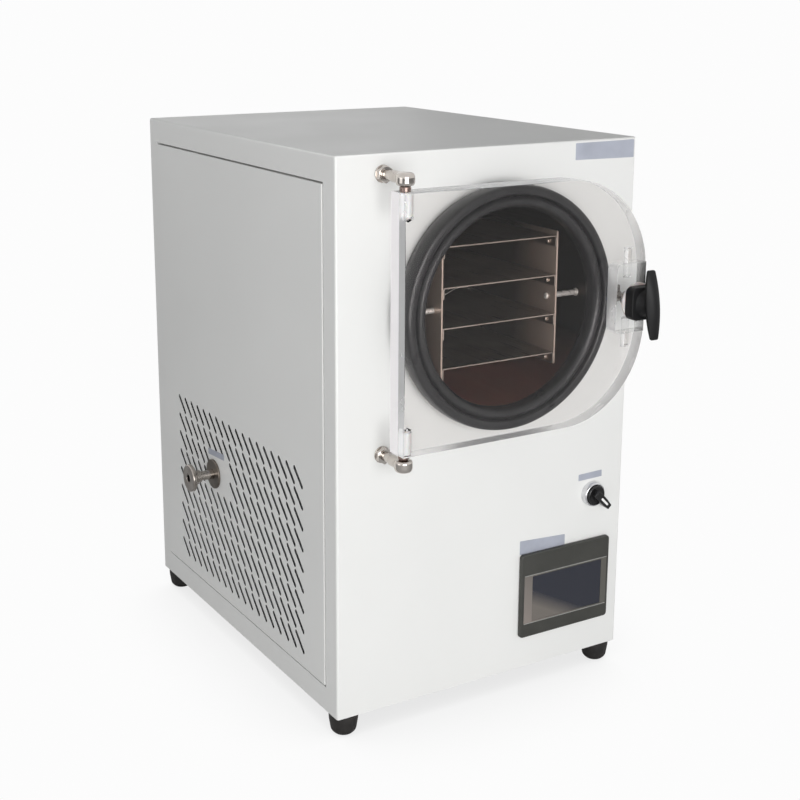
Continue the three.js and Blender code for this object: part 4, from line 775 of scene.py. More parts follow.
def settled(piece):
    """Applies a piece's modifiers to its own mesh."""
    bpy.context.view_layer.update()
    seen = piece.evaluated_get(bpy.context.evaluated_depsgraph_get())
    piece.data = bpy.data.meshes.new_from_object(seen)
    piece.modifiers.clear()
    return piece


def carved(piece, *tools, way="DIFFERENCE"):
    """Cuts the tools out of a piece, or joins them to it, with exact booleans."""
    for tool in tools:
        cut = piece.modifiers.new("cut", "BOOLEAN")
        cut.operation, cut.solver, cut.object = way, "EXACT", tool
    settled(piece)
    for tool in tools:
        bpy.data.objects.remove(tool)
    return piece


def gathered(name, *parts):
    """Several separate solids as one piece, such as a tray and its screws."""
    form = bmesh.new()
    for part in parts:
        form.from_mesh(part.data)
        bpy.data.objects.remove(part)
    return made(name, form)


def wire(name, points, radius, resolution=8):
    """A round wire along a smooth line through the points."""
    curve = bpy.data.curves.new(name, "CURVE")
    curve.dimensions = "3D"
    curve.bevel_depth = radius * MM
    curve.bevel_resolution = 4
    curve.use_fill_caps = True
    curve.resolution_u = resolution
    line = curve.splines.new("NURBS")
    line.points.add(len(points) - 1)
    for knot, point in zip(line.points, points):
        knot.co = (*at(*point), 1)
    line.use_endpoint_u = True
    line.order_u = 3
    piece = bpy.data.objects.new(name, curve)
    scene.collection.objects.link(piece)
    return piece


def fit(piece, finish, body, *nodes, slot=None):
    """Finishes a piece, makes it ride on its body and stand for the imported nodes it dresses."""
    piece.data.materials.clear()
    piece.data.materials.append(finish)
    if piece.type == "MESH":
        smooth_piece(piece)
    if finish in (clear_acrylic, block_acrylic):
        piece.visible_shadow = False  # clear plastic lets the lamps' light through
        piece.visible_diffuse = False  # and adds no second share of it to what lies behind
    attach(piece, body)
    if nodes:
        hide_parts(*nodes)
    size = [round(v / MM, 1) for v in piece.dimensions]
    print(piece.name, "size", size, "faces", len(piece.data.polygons) if piece.type == "MESH" else "curve")
    return piece


print("slab, carving and wire tools ready")

# %% [markdown]
# ## Vented side panel
# The left panel is a thin tray of sheet steel with nine rows of slanted slots. On the real one a press
# punches them with round ends, so each is a capsule outline here, and one boolean cuts them all at once.
# The tray's rim is bent over a small radius, which shows as a bright line beside the gap round it.

# %% Vented side panel
panel_low, panel_high = limits("left_side_panel")
panel_outline = round_rectangle((panel_low.y, panel_low.z), (panel_high.y, panel_high.z), 1.2, 4)
PANEL_SHEET = 1.0
inset = Vector((0, PANEL_SHEET, PANEL_SHEET))
hollow_outline = round_rectangle((panel_low + inset).yz, (panel_high - inset).yz, 0.6, 4)
panel_tray = slab("vented_side_panel", panel_outline, "x", panel_low.x, panel_high.x, 0.6, 3)
hollow = slab("hollow", hollow_outline, "x", panel_low.x + PANEL_SHEET, panel_high.x + 1, 0)


def slot_tool(y, z, width=5.3, reach=9.1):
    """A cutter for one slanted slot with round ends."""
    upper = arc((y + reach, z + reach), width / 2, -45, 135, 6)
    outline = upper + arc((y - reach, z - reach), width / 2, 135, 315, 6)
    return slab("slot", outline, "x", panel_low.x - 1, panel_low.x + 3, 0)


port_y, port_z = middle("port_tube").yz
ROWS, COLUMNS, ROW_PITCH, COLUMN_PITCH, FIRST_ROW = 9, 18, 25.3, 19.6, 28.25
PLAIN_HALF, PLAIN_SHIFT = 25, 15  # the plain patch round the port
panel_middle = middle("left_side_panel").y
slot_places = [
    (panel_middle + (column - (COLUMNS - 1) / 2) * COLUMN_PITCH, panel_low.z + FIRST_ROW + row * ROW_PITCH)
    for row in range(ROWS) for column in range(COLUMNS)
]
slots = gathered("slots", *[
    slot_tool(y, z) for y, z in slot_places
    if max(abs(y - port_y + PLAIN_SHIFT), abs(z - port_z)) >= PLAIN_HALF
])
port_hole = bored("x", (port_y, port_z), 6.3, panel_low.x - 1, panel_low.x + 3, 32)
carved(panel_tray, hollow, slots, port_hole)
fit(panel_tray, cabinet_paint, "cabinet", "left_side_panel")
print("painted, shade_painted and rim faces", paint_inner_shade(panel_tray, panel_low, panel_high, "left"))

# %% [markdown]
# ## Dust filters
# Two mats of black open-cell foam lie behind the slots of the rear panel, so that the fan doesn't draw
# dust over the condenser. They also stop light from shining through the empty cabinet. Each is a thin
# slab with soft edges; the cells are only colour and bump, because single cells can't be seen.

# %% Dust filters
FILTER_THICK, FILTER_GAP, FILTER_INSET = 1.0, 0.4, 26
rear_low, rear_high = limits("rear_panel")
filter_back = rear_low.y - FILTER_GAP
for name, bottom, top in (("filter_mat_lower", 160, 288), ("filter_mat_upper", 478, 604)):
    left, right = rear_low.x + FILTER_INSET, rear_high.x - FILTER_INSET
    filter_outline = round_rectangle((left, bottom), (right, top), 4, 4)
    mat = slab(name, filter_outline, "y", filter_back - FILTER_THICK, filter_back, 0.3)
    fit(mat, filter_foam, "cabinet", slot="black_plastic")

# %% [markdown]
# ## Gasket
# The door closes on a moulded ring pushed over the steel rim of the chamber. In section it has a fat
# outer roll, a narrow groove, a raised bead where the door touches, and a lip that turns into the bore.
# A torus would miss all of that; spinning the true section gives the bright line along the bead.

# %% Gasket
gasket_low, gasket_high = limits("chamber_gasket")
gasket_centre = ((gasket_low.x + gasket_high.x) / 2, (gasket_low.z + gasket_high.z) / 2)
roll = (gasket_high.x - gasket_low.x) / 2
face = gasket_low.y
back = gasket_high.y
mouth = roll - 25.5
gasket = turned("door_gasket", [
    (roll - 4.5, back, 1), (roll, -13, 6), (roll, face + 8, 3), (roll - 1.2, face + 1.6, 2.4),
    (roll - 6.5, face, 3), (roll - 10.8, face + 0.9, 1.4), (roll - 12.6, face + 5.6, 0.8),
    (roll - 14.6, face + 2.6, 1.6), (roll - 17.6, face + 0.1, 2.6), (roll - 21.5, face + 0.8, 2.6),
    (roll - 24.2, face + 3.4, 1.8), (mouth, face + 8, 3), (mouth, -14, 1.5), (mouth + 6.6, -6.2, 0.6),
    (mouth + 6.7, -14.4, 0.2), (mouth + 9.4, -14.4, 0.2), (mouth + 9.4, back, 0.4),
], "y", gasket_centre, steps=160)
fit(gasket, gasket_rubber, "cabinet", "chamber_gasket")

# %% [markdown]
# ## Shelves and rack
# Four heated shelves hang between two upright plates. Each shelf is one sheet with its sides folded down,
# so its section is a flat U with round bends. Carrying that section through the chamber's depth keeps
# the bend at its true radius, which a box with thin walls would lose. Screws with washers hold each fold.

# %% Shelves
SHEET = 1.5


def shelf_screw(name, side, inner, depth, height):
    """A pan head on its washer, against the inside of a fold."""
    face = inner - side * SHEET

    def from_face(outline):
        return [(radius, face - side * stand, *rest) for radius, stand, *rest in outline]

    place = (depth, height)
    pan = [(0, 0.6), (3.3, 0.6), (3.4, 1.7), (2.5, 2.7), (0, 3)]
    washer = turned(name + "_washer", from_face([(0, 0), (4.4, 0), (4.4, 0.6), (0, 0.6)]), "x", place, 0.15, 24)
    return washer, turned(name + "_head", from_face(pan), "x", place, 0.3, 20)


def tray_shelf(number):
    """One shelf of the rack with its four screws."""
    low, high = limits(f"shelf_{number}")
    outside = [(low.x, low.z), (low.x, high.z, 2.2), (high.x, high.z, 2.2), (high.x, low.z)]
    inside = [
        (high.x - SHEET, low.z), (high.x - SHEET, high.z - SHEET, 0.8),
        (low.x + SHEET, high.z - SHEET, 0.8), (low.x + SHEET, low.z),
    ]
    section = eased(outside + inside, 0.0, steps=6)
    tray = slab(f"tray_{number}", section, "y", low.y, high.y, 0.3, 2)
    height = high.z - 8.1
    screws = []
    for side, inner in ((-1, low.x), (1, high.x)):
        for depth in (low.y + 14, high.y - 14):
            screws += shelf_screw(f"screw_{number}", side, inner, depth, height)
    return gathered(f"heated_shelf_{number}", tray, *screws)


for number in range(1, 5):
    fit(tray_shelf(number), rack_steel, "cabinet", f"shelf_{number}")

# %% Rack plates and standoffs
for hand in ("left", "right"):
    low, high = limits(f"rack_plate_{hand}")
    outline = round_rectangle((low.y, low.z), (high.y, high.z), 1.5, 4)
    plate = slab(f"rack_side_{hand}", outline, "x", low.x, high.x, 0.35)
    holes = [
        bored("x", middle(f"rack_standoff_{hand}_{end}").yz, 2.3, low.x - 1, high.x + 1, 24)
        for end in ("front", "rear")
    ]
    fit(carved(plate, *holes), plate_finish_painted_shade, "cabinet", f"rack_plate_{hand}", slot="rack_steel")
    for end in ("front", "rear"):
        spacer = f"rack_standoff_{hand}_{end}"
        (x0, _, _), (x1, _, _) = limits(spacer)
        place = middle(spacer)
        tip, wall = (x0, x1) if hand == "right" else (x1, x0)
        way = 1 if wall > tip else -1
        rod = turned(f"spacer_{hand}_{end}", [
            (0, tip, 0), (2.6, tip + way * 0.1, 0.9), (3.8, tip + way * 1.4), (3.8, tip + way * 2.6, 0.1),
            (2, tip + way * 2.6, 0), (2, tip + way * 5.2, 0), (3.2, tip + way * 5.2),
            (3.2, wall - way * 2.4, 0.8), (4.6, wall - way * 1.6, 0.5), (4.6, wall, 0.1), (0, wall, 0),
        ], "x", (place.y, place.z), 0.3, 40)
        fit(rod, spacer_finish, "cabinet", spacer, slot="rack_steel")

# %% [markdown]
# ## Probe wire
# A thin stiff lead of a shelf's temperature probe springs from the left plate and bows under the third
# shelf. A curve with a round section is the honest way to draw a wire.

# %% Probe wire
shelf_three = limits("shelf_3")
under_shelf = shelf_three[1].z - SHEET
left_fold = shelf_three[0].x + SHEET
probe = wire("shelf_probe", [
    (left_fold + 0.6, 3, under_shelf - 10.6), (left_fold + 3, 2.6, under_shelf - 8.6),
    (left_fold + 9, 2, under_shelf - 5), (left_fold + 17, 1.6, under_shelf - 1.8),
    (left_fold + 26, 1.8, under_shelf - 0.9), (left_fold + 34, 2.6, under_shelf - 2.6),
    (left_fold + 40, 3.6, under_shelf - 6.4),
], 0.42)
fit(probe, latch_steel, "cabinet")

# %% [markdown]
# ## Ball-joint hinges
# The door swings on two ball joints. A shank through the front face carries a domed housing; a ball stud
# stands from the housing into the door's edge, inside a nylon bush. All of it is turned stock except the
# hexagon nut, whose corners are chamfered by a cone, so the nut is a slab cut by a turned shape.

# %% Hinges
NUT_FLATS, NUT_FRONT = 16.5, -8.3


def hinge_pieces(end, away):
    """Housing, nut, stud and bush of one hinge; away is the way off the door, up or down."""
    (x0, y0, z0), (x1, y1, z1) = limits(f"hinge_joint_{end}")
    x, depth = (x0 + x1) / 2, y0 + 10
    near, far = (z0, z1) if away > 0 else (z1, z0)
    axis = (near + far) / 2

    def standing(outline):
        return [(radius, near + away * rise, *rest) for radius, rise, *rest in outline]

    dome = turned(f"dome_{end}", standing([
        (0, 0, 0), (4.4, 0, 0), (8.8, 0.2, 1), (10, 2.4, 1.6), (10, 9.5, 2), (8.8, 12.4, 2), (5.4, 13.8, 2.4),
        (0, 14, 0),
    ]), "z", (x, depth), 0.6, 64)
    shank = turned(f"shank_{end}", [
        (0, depth + 2, 0), (6.4, depth + 2, 0), (6.4, -23, 0.8), (5.6, -22.2, 0.3), (5.2, -21.4, 0.3),
        (5.2, -12, 0.3), (5, -11.6, 0.2), (5, y1, 0.6), (0, y1, 0),
    ], "y", (x, axis), 0.3, 48)
    hollow = standing([(0, -1, 0), (4.6, -1, 0), (6.2, 7, 2), (4, 11, 2), (0, 12, 0)])
    socket = turned("socket", hollow, "z", (x, depth), 0.2, 48)
    housing = carved(carved(dome, shank, way="UNION"), socket)
    housing.name = f"hinge_housing_{end}"
    fit(housing, hinge_steel, "cabinet", f"hinge_joint_{end}")

    hexagon = arc((x, axis), NUT_FLATS / 2 / math.cos(math.pi / 6), 30, 330, 5)
    blank = slab(f"nut_{end}", hexagon, "y", NUT_FRONT, -1.9, 0.2, 2)
    cone = [(0, NUT_FRONT, 0), (8.2, NUT_FRONT, 0.2), (10.2, -7.1, 0.2), (10.2, 0, 0), (0, 0, 0)]
    chamfer = turned("chamfer", cone, "y", (x, axis), 0, 48)
    bore = bored("y", (x, axis), 5.3, -9, 1)
    seat = [(5.4, -0.3), (9.5, -0.3), (9.5, -1.8), (5.4, -1.8)]
    washer = turned(f"washer_{end}", seat, "y", (x, axis), 0.4, 64)
    nut = carved(carved(blank, chamfer, way="INTERSECT"), bore)
    fit(gathered(f"hinge_clamp_{end}", nut, washer), hinge_steel, "cabinet", f"hinge_nut_{end}")

    pin_low, pin_high = limits(f"hinge_pin_{end}")
    tip = pin_low.z if away > 0 else pin_high.z
    collar = near - away * 0.3
    stud = turned(f"hinge_stud_{end}", [
        (0, tip, 0), (2, tip, 0.4), (3, tip + away, 0.6), (3, collar - away * 6, 0.2),
        (6, collar - away * 6, 0.6), (6, collar - away * 1.2, 0.6), (5, collar, 0.5), (3, collar, 0.2),
        (3, collar + away * 2.4, 0.4), (5, collar + away * 4.2, 2), (6, collar + away * 7, 3),
        (4.4, collar + away * 11, 2), (0, collar + away * 12, 0),
    ], "z", (x, depth), 0.3, 56)
    fit(stud, collar_steel, "door", f"hinge_pin_{end}", slot="hinge_steel")

    bush_low, bush_high = limits(f"hinge_bush_{end}")
    deep, rim = (bush_low.z, bush_high.z) if away > 0 else (bush_high.z, bush_low.z)
    bush = turned(f"hinge_sleeve_{end}", [
        (3.2, rim, 0.2), (5.7, rim, 0.5), (5.7, deep + away * 2.2, 0.6), (4.2, deep, 0.5), (3.2, deep, 0.2),
    ], "z", (x, depth), 0.3, 56)
    fit(bush, nylon, "door", f"hinge_bush_{end}")


hinge_pieces("top", 1)
hinge_pieces("bottom", -1)

# %% [markdown]
# ## Clear door
# The door is one slab of cast acrylic, square at the hinges and rounded at the latch. It needs true
# thickness and true holes, because everything that is seen through it is bent by its faces. The outline
# gets long smooth arcs, polished edges get a small ease, and the holes are drilled with booleans.

# %% Door
door_low, door_high = limits("door_panel")
block_low, block_high = limits("latch_block")
latch_x, _, latch_height = middle("latch_washer")
DOOR_CORNER = 110
CORNER_STEPS = 40
door_right = block_high.x - 0.5
door_outline = [
    (door_low.x, door_low.z),
    *arc((door_right - DOOR_CORNER, door_low.z + DOOR_CORNER), DOOR_CORNER, -90, 0, CORNER_STEPS),
    *arc((door_right - DOOR_CORNER, door_high.z - DOOR_CORNER), DOOR_CORNER, 0, 90, CORNER_STEPS),
    (door_low.x, door_high.z),
]
door_panel = slab("clear_door", eased(door_outline, 0, steps=3), "y", door_low.y, door_high.y, 0.7, 3)

GLUE = -0.02
notch_outline = round_rectangle(
    (block_low.x - GLUE, block_low.z - GLUE), (block_high.x + 30, block_high.z + GLUE), 8, 10,
)
notch = slab("notch", notch_outline, "y", door_low.y - 1, door_high.y + 1, 0)


def upright_rod(name, radius, low, high, place, ease=0.0, steps=40):
    """A plain upright rod, such as a dowel or a set screw."""
    outline = [(0, low, 0), (radius, low, ease), (radius, high, ease), (0, high, 0)]
    return turned(name, outline, "z", place, 0, steps)


hinge_x, door_middle = middle("hinge_bush_top").x, middle("hinge_bush_top").y
dowel = middle("latch_dowel_top")
BUSH_HOLE, DOWEL_HOLE = 5.68, 5.28
bush_holes = [
    turned("hole", [
        (0, rim + out, 0), (BUSH_HOLE, rim + out, 0), (BUSH_HOLE, rim - out * 28, 0), (0, rim - out * 31, 0),
    ], "z", (hinge_x, door_middle), 0, 48)
    for rim, out in ((door_high.z, 1), (door_low.z, -1))
]
dowel_holes = [
    bored("z", dowel.xy, DOWEL_HOLE, block_high.z - 2, block_high.z + 17.3, 40),
    bored("z", dowel.xy, DOWEL_HOLE, block_low.z - 17.3, block_low.z + 2, 40),
]
carved(door_panel, notch, *bush_holes, *dowel_holes)
fit(door_panel, clear_acrylic, "door", "door_panel")

# %% [markdown]
# The faces of the sheet are as cast, but its edges are worked: the long ones are scraped and polished
# with a faint haze, and the rear part of the hinge edge is left as the saw cut it, milky and pale. Clear
# plastic pipes light to its edges, which a small glow stands for. The edge faces are picked by where they
# look, after one extra cut round the sheet where the sawn part starts.

# %% Worked edges
edge_haze = surface(
    "edge_haze", "F7F7F8", 0.25, IOR=1.49, Transmission_Weight=0.6, Emission_Color=(1, 1, 1, 1),
    Emission_Strength=0.1, shine=(0.16, 0.3, 40.0, dict(stretch=(0.2, 1, 1))),
)
sawn_edge = surface(
    "sawn_edge", "F6F2F4", 0.55, IOR=1.49, Transmission_Weight=0.1, Emission_Color=(1, 1, 1, 1),
    Emission_Strength=0.14, shine=(0.45, 0.65, 300.0, dict(stretch=(1, 1, 0.1))),
)
SAWN_FROM, HOLE_MARGIN, CORNER_REACH = 0.42, 17, 112


def work_edges(sheet, low, high):
    """Gives a clear sheet its worked edges; the walls of holes and the two wide faces stay clear."""
    form = bmesh.new()
    form.from_mesh(sheet.data)
    across = low.y + SAWN_FROM * (high.y - low.y)
    bmesh.ops.bisect_plane(
        form, geom=[*form.verts, *form.edges, *form.faces], plane_co=at(0, across, 0), plane_no=(0, 1, 0),
    )
    for face in form.faces:
        where = (face.calc_center_median() - corner) / MM
        look = face.normal
        if abs(look.y) > 0.9:
            continue
        if look.x < -0.9 and where.x < low.x + 0.2:
            face.material_index = 2 if where.y > across else 1
        elif where.x > low.x + HOLE_MARGIN and (
            look.z > 0.5 and where.z > high.z - CORNER_REACH or look.x > 0.3
            or look.z < -0.5 and where.z < low.z + CORNER_REACH
        ):
            face.material_index = 1
    form.to_mesh(sheet.data)
    form.free()
    for finish in (edge_haze, sawn_edge):
        sheet.data.materials.append(finish)


work_edges(door_panel, door_low, door_high)
print("edge faces", [sum(face.material_index == k for face in door_panel.data.polygons) for k in (0, 1, 2)])

# %% [markdown]
# ## Latch
# A separate acrylic block is let into the door's edge on two dowels and carries the latch shaft. Outside
# it sit a white washer and a moulded T-handle; behind it a cam on the shaft catches a folded keeper. The
# block and its dowels are drawn a hair bigger than their holes, as a clear glue joint hides the seam.

# %% Latch block, dowels, washer and shaft
SHAFT_BORE = 5.3
block_outline = [
    (block_high.x, block_low.z), (block_high.x, block_high.z),
    *arc((block_low.x + 8, block_high.z - 8), 8, 90, 180, 10),
    *arc((block_low.x + 8, block_low.z + 8), 8, 180, 270, 10),
]
latch_block = slab("clear_latch_block", block_outline, "y", block_low.y, block_high.y, 0.6, 3)
shaft_hole = bored("y", (latch_x, latch_height), SHAFT_BORE, block_low.y - 1, block_high.y + 1)
block_holes = [
    bored("z", dowel.xy, DOWEL_HOLE, block_high.z - 17, block_high.z + 2, 40),
    bored("z", dowel.xy, DOWEL_HOLE, block_low.z - 2, block_low.z + 17, 40),
]
fit(carved(latch_block, shaft_hole, *block_holes), block_acrylic, "door", "latch_block", slot="clear_acrylic")

for end in ("top", "bottom"):
    low, high = limits(f"latch_dowel_{end}")
    pin = upright_rod(f"clear_dowel_{end}", 5.3, low.z, high.z, (dowel.x, dowel.y), 0.6)
    fit(pin, block_acrylic, "door", f"latch_dowel_{end}", slot="clear_acrylic")

washer_low, washer_high = limits("latch_washer")
washer_edge = (washer_high.x - washer_low.x) / 2
washer = turned("latch_spacer", [
    (5.3, washer_high.y), (washer_edge, washer_high.y), (washer_edge, washer_low.y), (5.3, washer_low.y),
], "y", (latch_x, latch_height), 0.5, 96)
fit(washer, nylon, "door", "latch_washer")

shaft_low, shaft_high = limits("latch_shaft")
shaft = turned("latch_spindle", [
    (0, shaft_high.y, 0), (4.2, shaft_high.y, 0.8), (5.6, shaft_high.y - 2, 0.4), (4, shaft_high.y - 2, 0),
    (4, -14.8, 0), (5, -14.8, 0.2), (5, -28.4, 0.2), (8.4, -28.4, 0.6), (8.4, -30.7, 0.6), (5, -30.7, 0.1),
    (5, shaft_low.y, 0.4), (0, shaft_low.y, 0),
], "y", (latch_x, latch_height), 0.2, 56)
fit(shaft, latch_steel, "latch", "latch_shaft")

# %% [markdown]
# ## T-handle
# The handle is moulded in one: a square collar with big round corners against the washer, a neck that
# narrows to the bar, and a spindle-shaped bar with a crowned front. The collar is a slab, the neck is
# lofted from ovals and the bar from crowned sections, and all three are joined and bored for the shaft.

# %% T-handle
handle_low, handle_high = limits("t_handle")
collar_front = handle_high.y - 13
bar_back = collar_front - 10
bar_edge, bar_crown, bar_lean = bar_back - 3, 5, 4.6
half_bar = (handle_high.z - handle_low.z) / 2
NECK_WIDE, NECK_ACROSS, NECK_UPRIGHT, OVAL_STEPS = 16.5, 9.4, 14, 64
ARCH_STEPS = 16


def lofted(name, sections):
    """Joins rings of equal count into a closed skin."""
    form = bmesh.new()
    rings = [[form.verts.new(at(*point)) for point in ring] for ring in sections]
    for near, far in zip(rings, rings[1:]):
        for step in range(len(near)):
            turn = (step + 1) % len(near)
            form.faces.new([near[step], near[turn], far[turn], far[step]])
    form.faces.new(rings[0])
    form.faces.new(rings[-1])
    return made(name, form)


def neck_ring(share):
    """One oval of the neck; share runs from 0 at the collar to 1 inside the bar."""
    narrowing = min(1, share * 1.15) ** 0.5
    across = NECK_WIDE + (NECK_ACROSS - NECK_WIDE) * narrowing
    upright = NECK_WIDE + (NECK_UPRIGHT - NECK_WIDE) * narrowing
    depth = collar_front + 1 + (bar_back - 1 - collar_front - 1) * share
    return [
        (latch_x + across * math.cos(angle), depth, latch_height + upright * math.sin(angle))
        for angle in (math.tau * k / OVAL_STEPS for k in range(OVAL_STEPS))
    ]


def bar_ring(share, shrink=1.0):
    """One crowned section of the bar; share runs from -1 at its lower tip to 1 at its upper tip."""
    swell = 1 - share ** 2
    half_width = (5 + 5 * swell) * shrink
    centre = latch_x - bar_lean * share
    front = bar_edge - bar_crown * swell
    drawn_in = (1 - shrink) * 1.5
    ring = [(centre - half_width, bar_back - drawn_in), (centre + half_width, bar_back - drawn_in)]
    for step in range(ARCH_STEPS + 1):
        side = 1 - 2 * step / ARCH_STEPS
        deep = bar_edge + (front - bar_edge) * (1 - side ** 2) * (0.6 + 0.4 * swell) + drawn_in
        ring.append((centre + half_width * side, deep))
    ring = eased(ring, 0.7, steps=3)
    height = latch_height + share * half_bar
    return [(x, y, height) for x, y in ring]


collar_outline = round_rectangle((latch_x - 19, latch_height - 19), (latch_x + 19, latch_height + 19), 8, 12)
collar = slab("handle_collar", collar_outline, "y", collar_front, handle_high.y, 0.9, 4)
neck = lofted("handle_neck", [neck_ring(step / 12) for step in range(13)])
shares = [step / 24 for step in range(-23, 24)]
bar = lofted("handle_bar", [
    bar_ring(-1, 0.8), bar_ring(-0.985, 0.95), *[bar_ring(share) for share in shares],
    bar_ring(0.985, 0.95), bar_ring(1, 0.8),
])
shaft_bore = bored("y", (latch_x, latch_height), SHAFT_BORE, handle_high.y + 1, shaft_low.y - 0.4, 40)
handle = carved(carved(collar, neck, bar, way="UNION"), shaft_bore)
handle.name = "moulded_t_handle"
fit(handle, handle_plastic, "latch", "t_handle")

# %% [markdown]
# ## Vacuum port
# The pump's hose clamps to a flange on a short steel tube that leaves the left side. The flange is turned
# with a flat sealing face, a tapered back and a hub with a set screw; a thin round plate covers the hole
# in the panel. All three are spun, and the tube stays open so that its bore can be seen.

# %% Port
port = middle("port_tube")
port_place = port.yz
flange_low, flange_high = limits("port_end_flange")
end_x = flange_low.x
flange = turned("clamp_flange", [
    (6.3, end_x, 0.3), (16.6, end_x, 0.7), (17.5, end_x + 0.9, 0.6), (17.5, end_x + 5, 0.6),
    (13.6, end_x + 7.4, 0.4), (9, end_x + 7.8, 0.6), (8, end_x + 8.8, 0.5), (8, end_x + 15.9, 0.6),
    (7.2, end_x + 16.5, 0.3), (6.3, end_x + 16.5, 0.2),
], "x", port_place, 0.3, 96)
set_screw = upright_rod("set_screw", 2.2, port.z - 9.5, port.z - 6.8, (end_x + 12, port.y), 0.4, 24)
set_socket = upright_rod("socket", 1.2, port.z - 10.5, port.z - 8, (end_x + 12, port.y), 0, 6)
flange_set = gathered("clamp_flange_set", flange, carved(set_screw, set_socket))
fit(flange_set, port_steel, "cabinet", "port_end_flange")

tube_low, tube_high = limits("port_tube")
tube = turned("port_pipe", [
    (6, tube_low.x, 0.4), (6, tube_high.x, 0.3), (5, tube_high.x, 0.3), (5, tube_low.x, 0.4),
], "x", port_place, 0.3, 64)
fit(tube, port_steel, "cabinet", "port_tube")

plate_low, plate_high = limits("port_wall_flange")
cover = turned("port_cover_plate", [
    (6.3, plate_high.x, 0.1), (19, plate_high.x, 0.1), (19, plate_low.x, 0.9), (6.3, plate_low.x, 0.2),
], "x", port_place, 0.2, 96)
# Painted shade: the cover plate is a darker copy of the port's steel, so it reads darker than the flange.
plate_steel = surface("plate_steel", "6E675F", 0.35, 1.0, tones=("645D56", "7A736B", 60.0))
fit(cover, plate_steel, "cabinet", "port_wall_flange", slot="port_steel")

# %% [markdown]
# ## Touch screen
# The operator's screen has a dark moulded frame with a bevelled edge. A glossy film runs across its middle, edged by
# two thin light lines, and the glass shows through it, off centre to the right. Film and glass both carry a painted
# reflection, lighter and browner towards the lower left. The frame is a slab with a wide bevel; film, lines and glass
# are separate thin pieces, as they are in life.

# %% Touch screen
bezel_low, bezel_high = limits("screen_bezel")
glass_low, glass_high = limits("screen_glass")
FRAME_FACE = bezel_low.y
SEAM = 0.3
frame_outline = round_rectangle((bezel_low.x, bezel_low.z), (bezel_high.x, bezel_high.z), 4.5, 8)
surround = slab("screen_surround", frame_outline, "y", FRAME_FACE, bezel_high.y, 1.5, 4)
glass_corners = (glass_low.x, glass_low.z), (glass_high.x, glass_high.z)
window = slab("window", rectangle(*glass_corners, SEAM), "y", FRAME_FACE - 1, 1, 0)
FILM_DEEP = 0.45
film_left, film_right = bezel_low.x + 4.5, bezel_high.x - 3.2
film_bottom, film_top = glass_low.z - 2.0, glass_high.z + 2.0
recess_outline = round_rectangle((film_left, film_bottom), (film_right, film_top), 1.0, 4)
recess = slab("recess", recess_outline, "y", FRAME_FACE - 1, FRAME_FACE + FILM_DEEP, 0)
fit(carved(surround, window, recess), screen_frame, "cabinet", "screen_bezel")

film_gloss_painted_reflection = new_finish("film_gloss_painted_reflection", "5D5B54", 0.22, Coat_Weight=0.4, Coat_Roughness=0.08)
# Painted reflection: the film is lighter and browner towards its lower left.
tint(film_gloss_painted_reflection, slope(film_gloss_painted_reflection, (252, 0, 58), (330, 0, 124)), "8B827C", "5A5852", 0.0, 0.8)
film_outline = round_rectangle((film_left + 0.1, film_bottom + 0.1), (film_right - 0.1, film_top - 0.1), 0.9, 4)
film = carved(
    slab("screen_film", film_outline, "y", FRAME_FACE + 0.08, FRAME_FACE + FILM_DEEP, 0.08, 2),
    slab("window", rectangle(*glass_corners, 0.1), "y", FRAME_FACE - 1, 1, 0),
)
fit(film, film_gloss_painted_reflection, "cabinet", slot="screen_frame")

line_gloss = surface("line_gloss", "8F8F8B", 0.3, tones=("868682", "9A9A96", 60.0))
for name, height in (("top", film_top), ("bottom", film_bottom)):
    strip = rectangle((film_left + 0.4, height - 0.55), (film_right - 0.4, height + 0.55))
    line = slab(f"screen_line_{name}", strip, "y", FRAME_FACE - 0.12, FRAME_FACE + 0.2, 0.1, 2)
    fit(line, line_gloss, "cabinet", slot="screen_frame")

glass = slab("touch_glass", rectangle(*glass_corners), "y", FRAME_FACE + 0.25, glass_high.y, 0.2, 2)
fit(glass, screen_glass, "cabinet", "screen_glass")

# %% [markdown]
# ## Selector switch
# A bright turned ring holds a black knob, and a wedge-shaped lever stands on the knob with a white line
# along its back. The ring and drum are spun; the lever is a slab narrowed to its tip and eased all round.

# %% Selector switch
ring_low, ring_high = limits("switch_bezel")
switch_place = ((ring_low.x + ring_high.x) / 2, (ring_low.z + ring_high.z) / 2)
ring = turned("selector_ring", [
    (12.8, -0.3, 0.1), (15, -0.3, 0.1), (15, -6.8, 0.7), (14.2, -8.7, 0.6), (13.2, -9, 0.3), (12.8, -8.6, 0.2),
], "y", switch_place, 0.3, 112)
fit(ring, switch_ring, "cabinet", "switch_bezel")

knob_low, knob_high = limits("switch_knob")
drum = turned("selector_knob", [
    (0, knob_high.y, 0), (12.4, knob_high.y, 0), (12.4, -11, 1.2), (11.2, -12, 0.8), (9.6, -11.6, 1.4),
    (0, -11.4, 0),
], "y", switch_place, 0.4, 96)


def on_lever(across, along):
    """A place on the lever, which points down to the right."""
    lean = math.radians(-45)
    x = along * math.cos(lean) - across * math.sin(lean)
    z = along * math.sin(lean) + across * math.cos(lean)
    return switch_place[0] + x, switch_place[1] + z


lever_outline = eased([
    (*on_lever(-4.7, -7), 1), (*on_lever(-4.7, 12), 3), (*on_lever(-3.2, 22), 0.9),
    (*on_lever(3.2, 22), 0.9), (*on_lever(4.7, 12), 3), (*on_lever(4.7, -7), 1),
], 1, steps=5)
lever = slab("lever", lever_outline, "y", knob_low.y, -9.4, 0.9, 4)
fit(carved(drum, lever, way="UNION"), knob_plastic, "selector", "switch_knob")

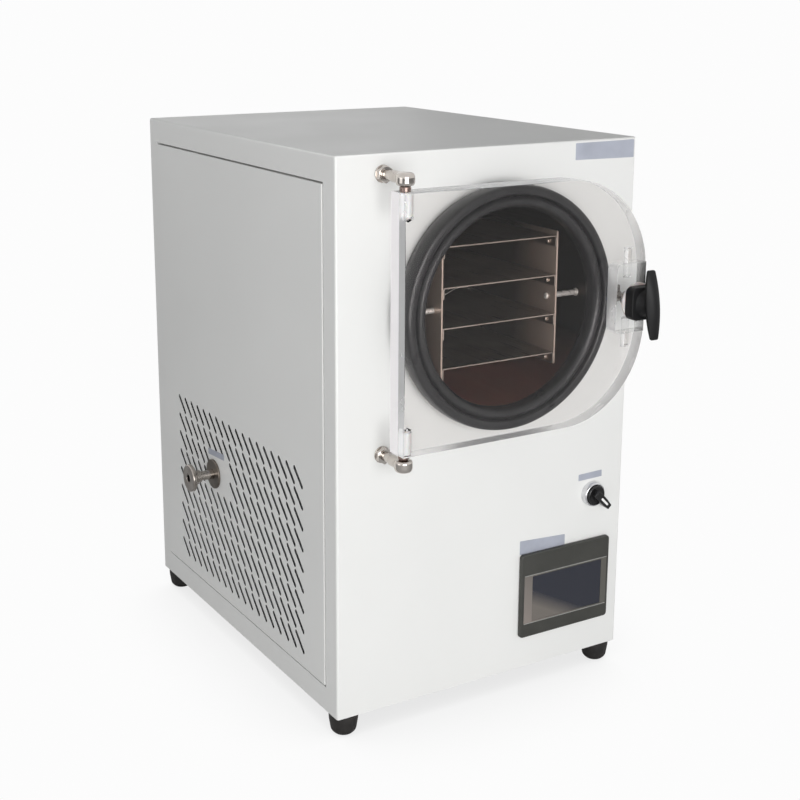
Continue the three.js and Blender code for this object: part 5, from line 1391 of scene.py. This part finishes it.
pointer_white = surface("pointer_white", "F4F4F2", 0.4, tones=("EFEFED", "F8F8F6", 200.0))
line_outline = eased([
    (*on_lever(-1.3, 3), 0.9), (*on_lever(-1.3, 16.5), 0.9),
    (*on_lever(1.3, 16.5), 0.9), (*on_lever(1.3, 3), 0.9),
], 0.7, steps=5)
pointer = slab("pointer_line", line_outline, "y", knob_low.y - 0.06, knob_low.y + 0.5, 0.05, 2)
fit(pointer, pointer_white, "selector", slot="knob_plastic")

# %% [markdown]
# ## Feet
# Each foot is a cup of hard rubber, wide under the cabinet and rounded where it stands, with its screw
# head sunk in the middle of the sole.

# %% Feet
for front in ("front", "rear"):
    for hand in ("left", "right"):
        low, high = limits(f"foot_{front}_{hand}")
        place = ((low.x + high.x) / 2, (low.y + high.y) / 2)
        foot = turned(f"rubber_foot_{front}_{hand}", [
            (0, low.z + 4.5, 0), (4.6, low.z + 4.5, 0.3), (5.2, low.z + 1, 0.5), (7, low.z, 1.2),
            (10, low.z + 0.2, 1.6), (14.6, low.z + 4.4, 4.2), (16.9, -6, 2), (17, -0.4, 0.5), (3, -0.4, 0),
            (3, high.z, 0.5), (0, high.z, 0),
        ], "z", place, 0.4, 72)
        fit(foot, foot_rubber, "cabinet", f"foot_{front}_{hand}")

# %% [markdown]
# ## Blank tags
# Tape tags sit above the screen, above the selector, in the top right corner and over the port. They are
# left blank here. Each is a film a fifth of a millimetre thick, stuck flat on its panel.

# %% Tags
TAG = 0.2


def tag(name, outline, axis, surface):
    """A thin blank tag with slightly rounded corners on a panel."""
    film = slab(name, eased(outline, 0.8, steps=4), axis, surface - TAG, surface - 0.02, 0.06, 2)
    return fit(film, tag_film, "cabinet", slot="cabinet_paint")


tag("tag_screen", [(248, 147), (315, 146), (315, 160.5), (248, 164.5)], "y", 0)
tag("tag_selector", [(333, 224.4), (368.6, 224.9), (368.4, 233.2), (333, 232.4)], "y", 0)
tag("tag_corner", [(311.5, 612.5), (397, 611.3), (397, 632), (311.5, 631.5)], "y", 0)
panel_face = limits("left_side_panel")[0].x
tag("tag_port", [(290, 222), (338, 218), (338.6, 225.5), (290.4, 230)], "x", panel_face)

# %% [markdown]
# ## Sizes
# The finished look must stay in the box of the imported solids, so both boxes are measured and their sizes printed.

# %% Sizes and the end
visual_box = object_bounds()
boxes = {"cad": [list(edge) for edge in cad_box], "visual": [list(edge) for edge in visual_box]}
for kind, (low, high) in boxes.items():
    print(kind, "box", [round(h - l, 4) for l, h in zip(low, high)])
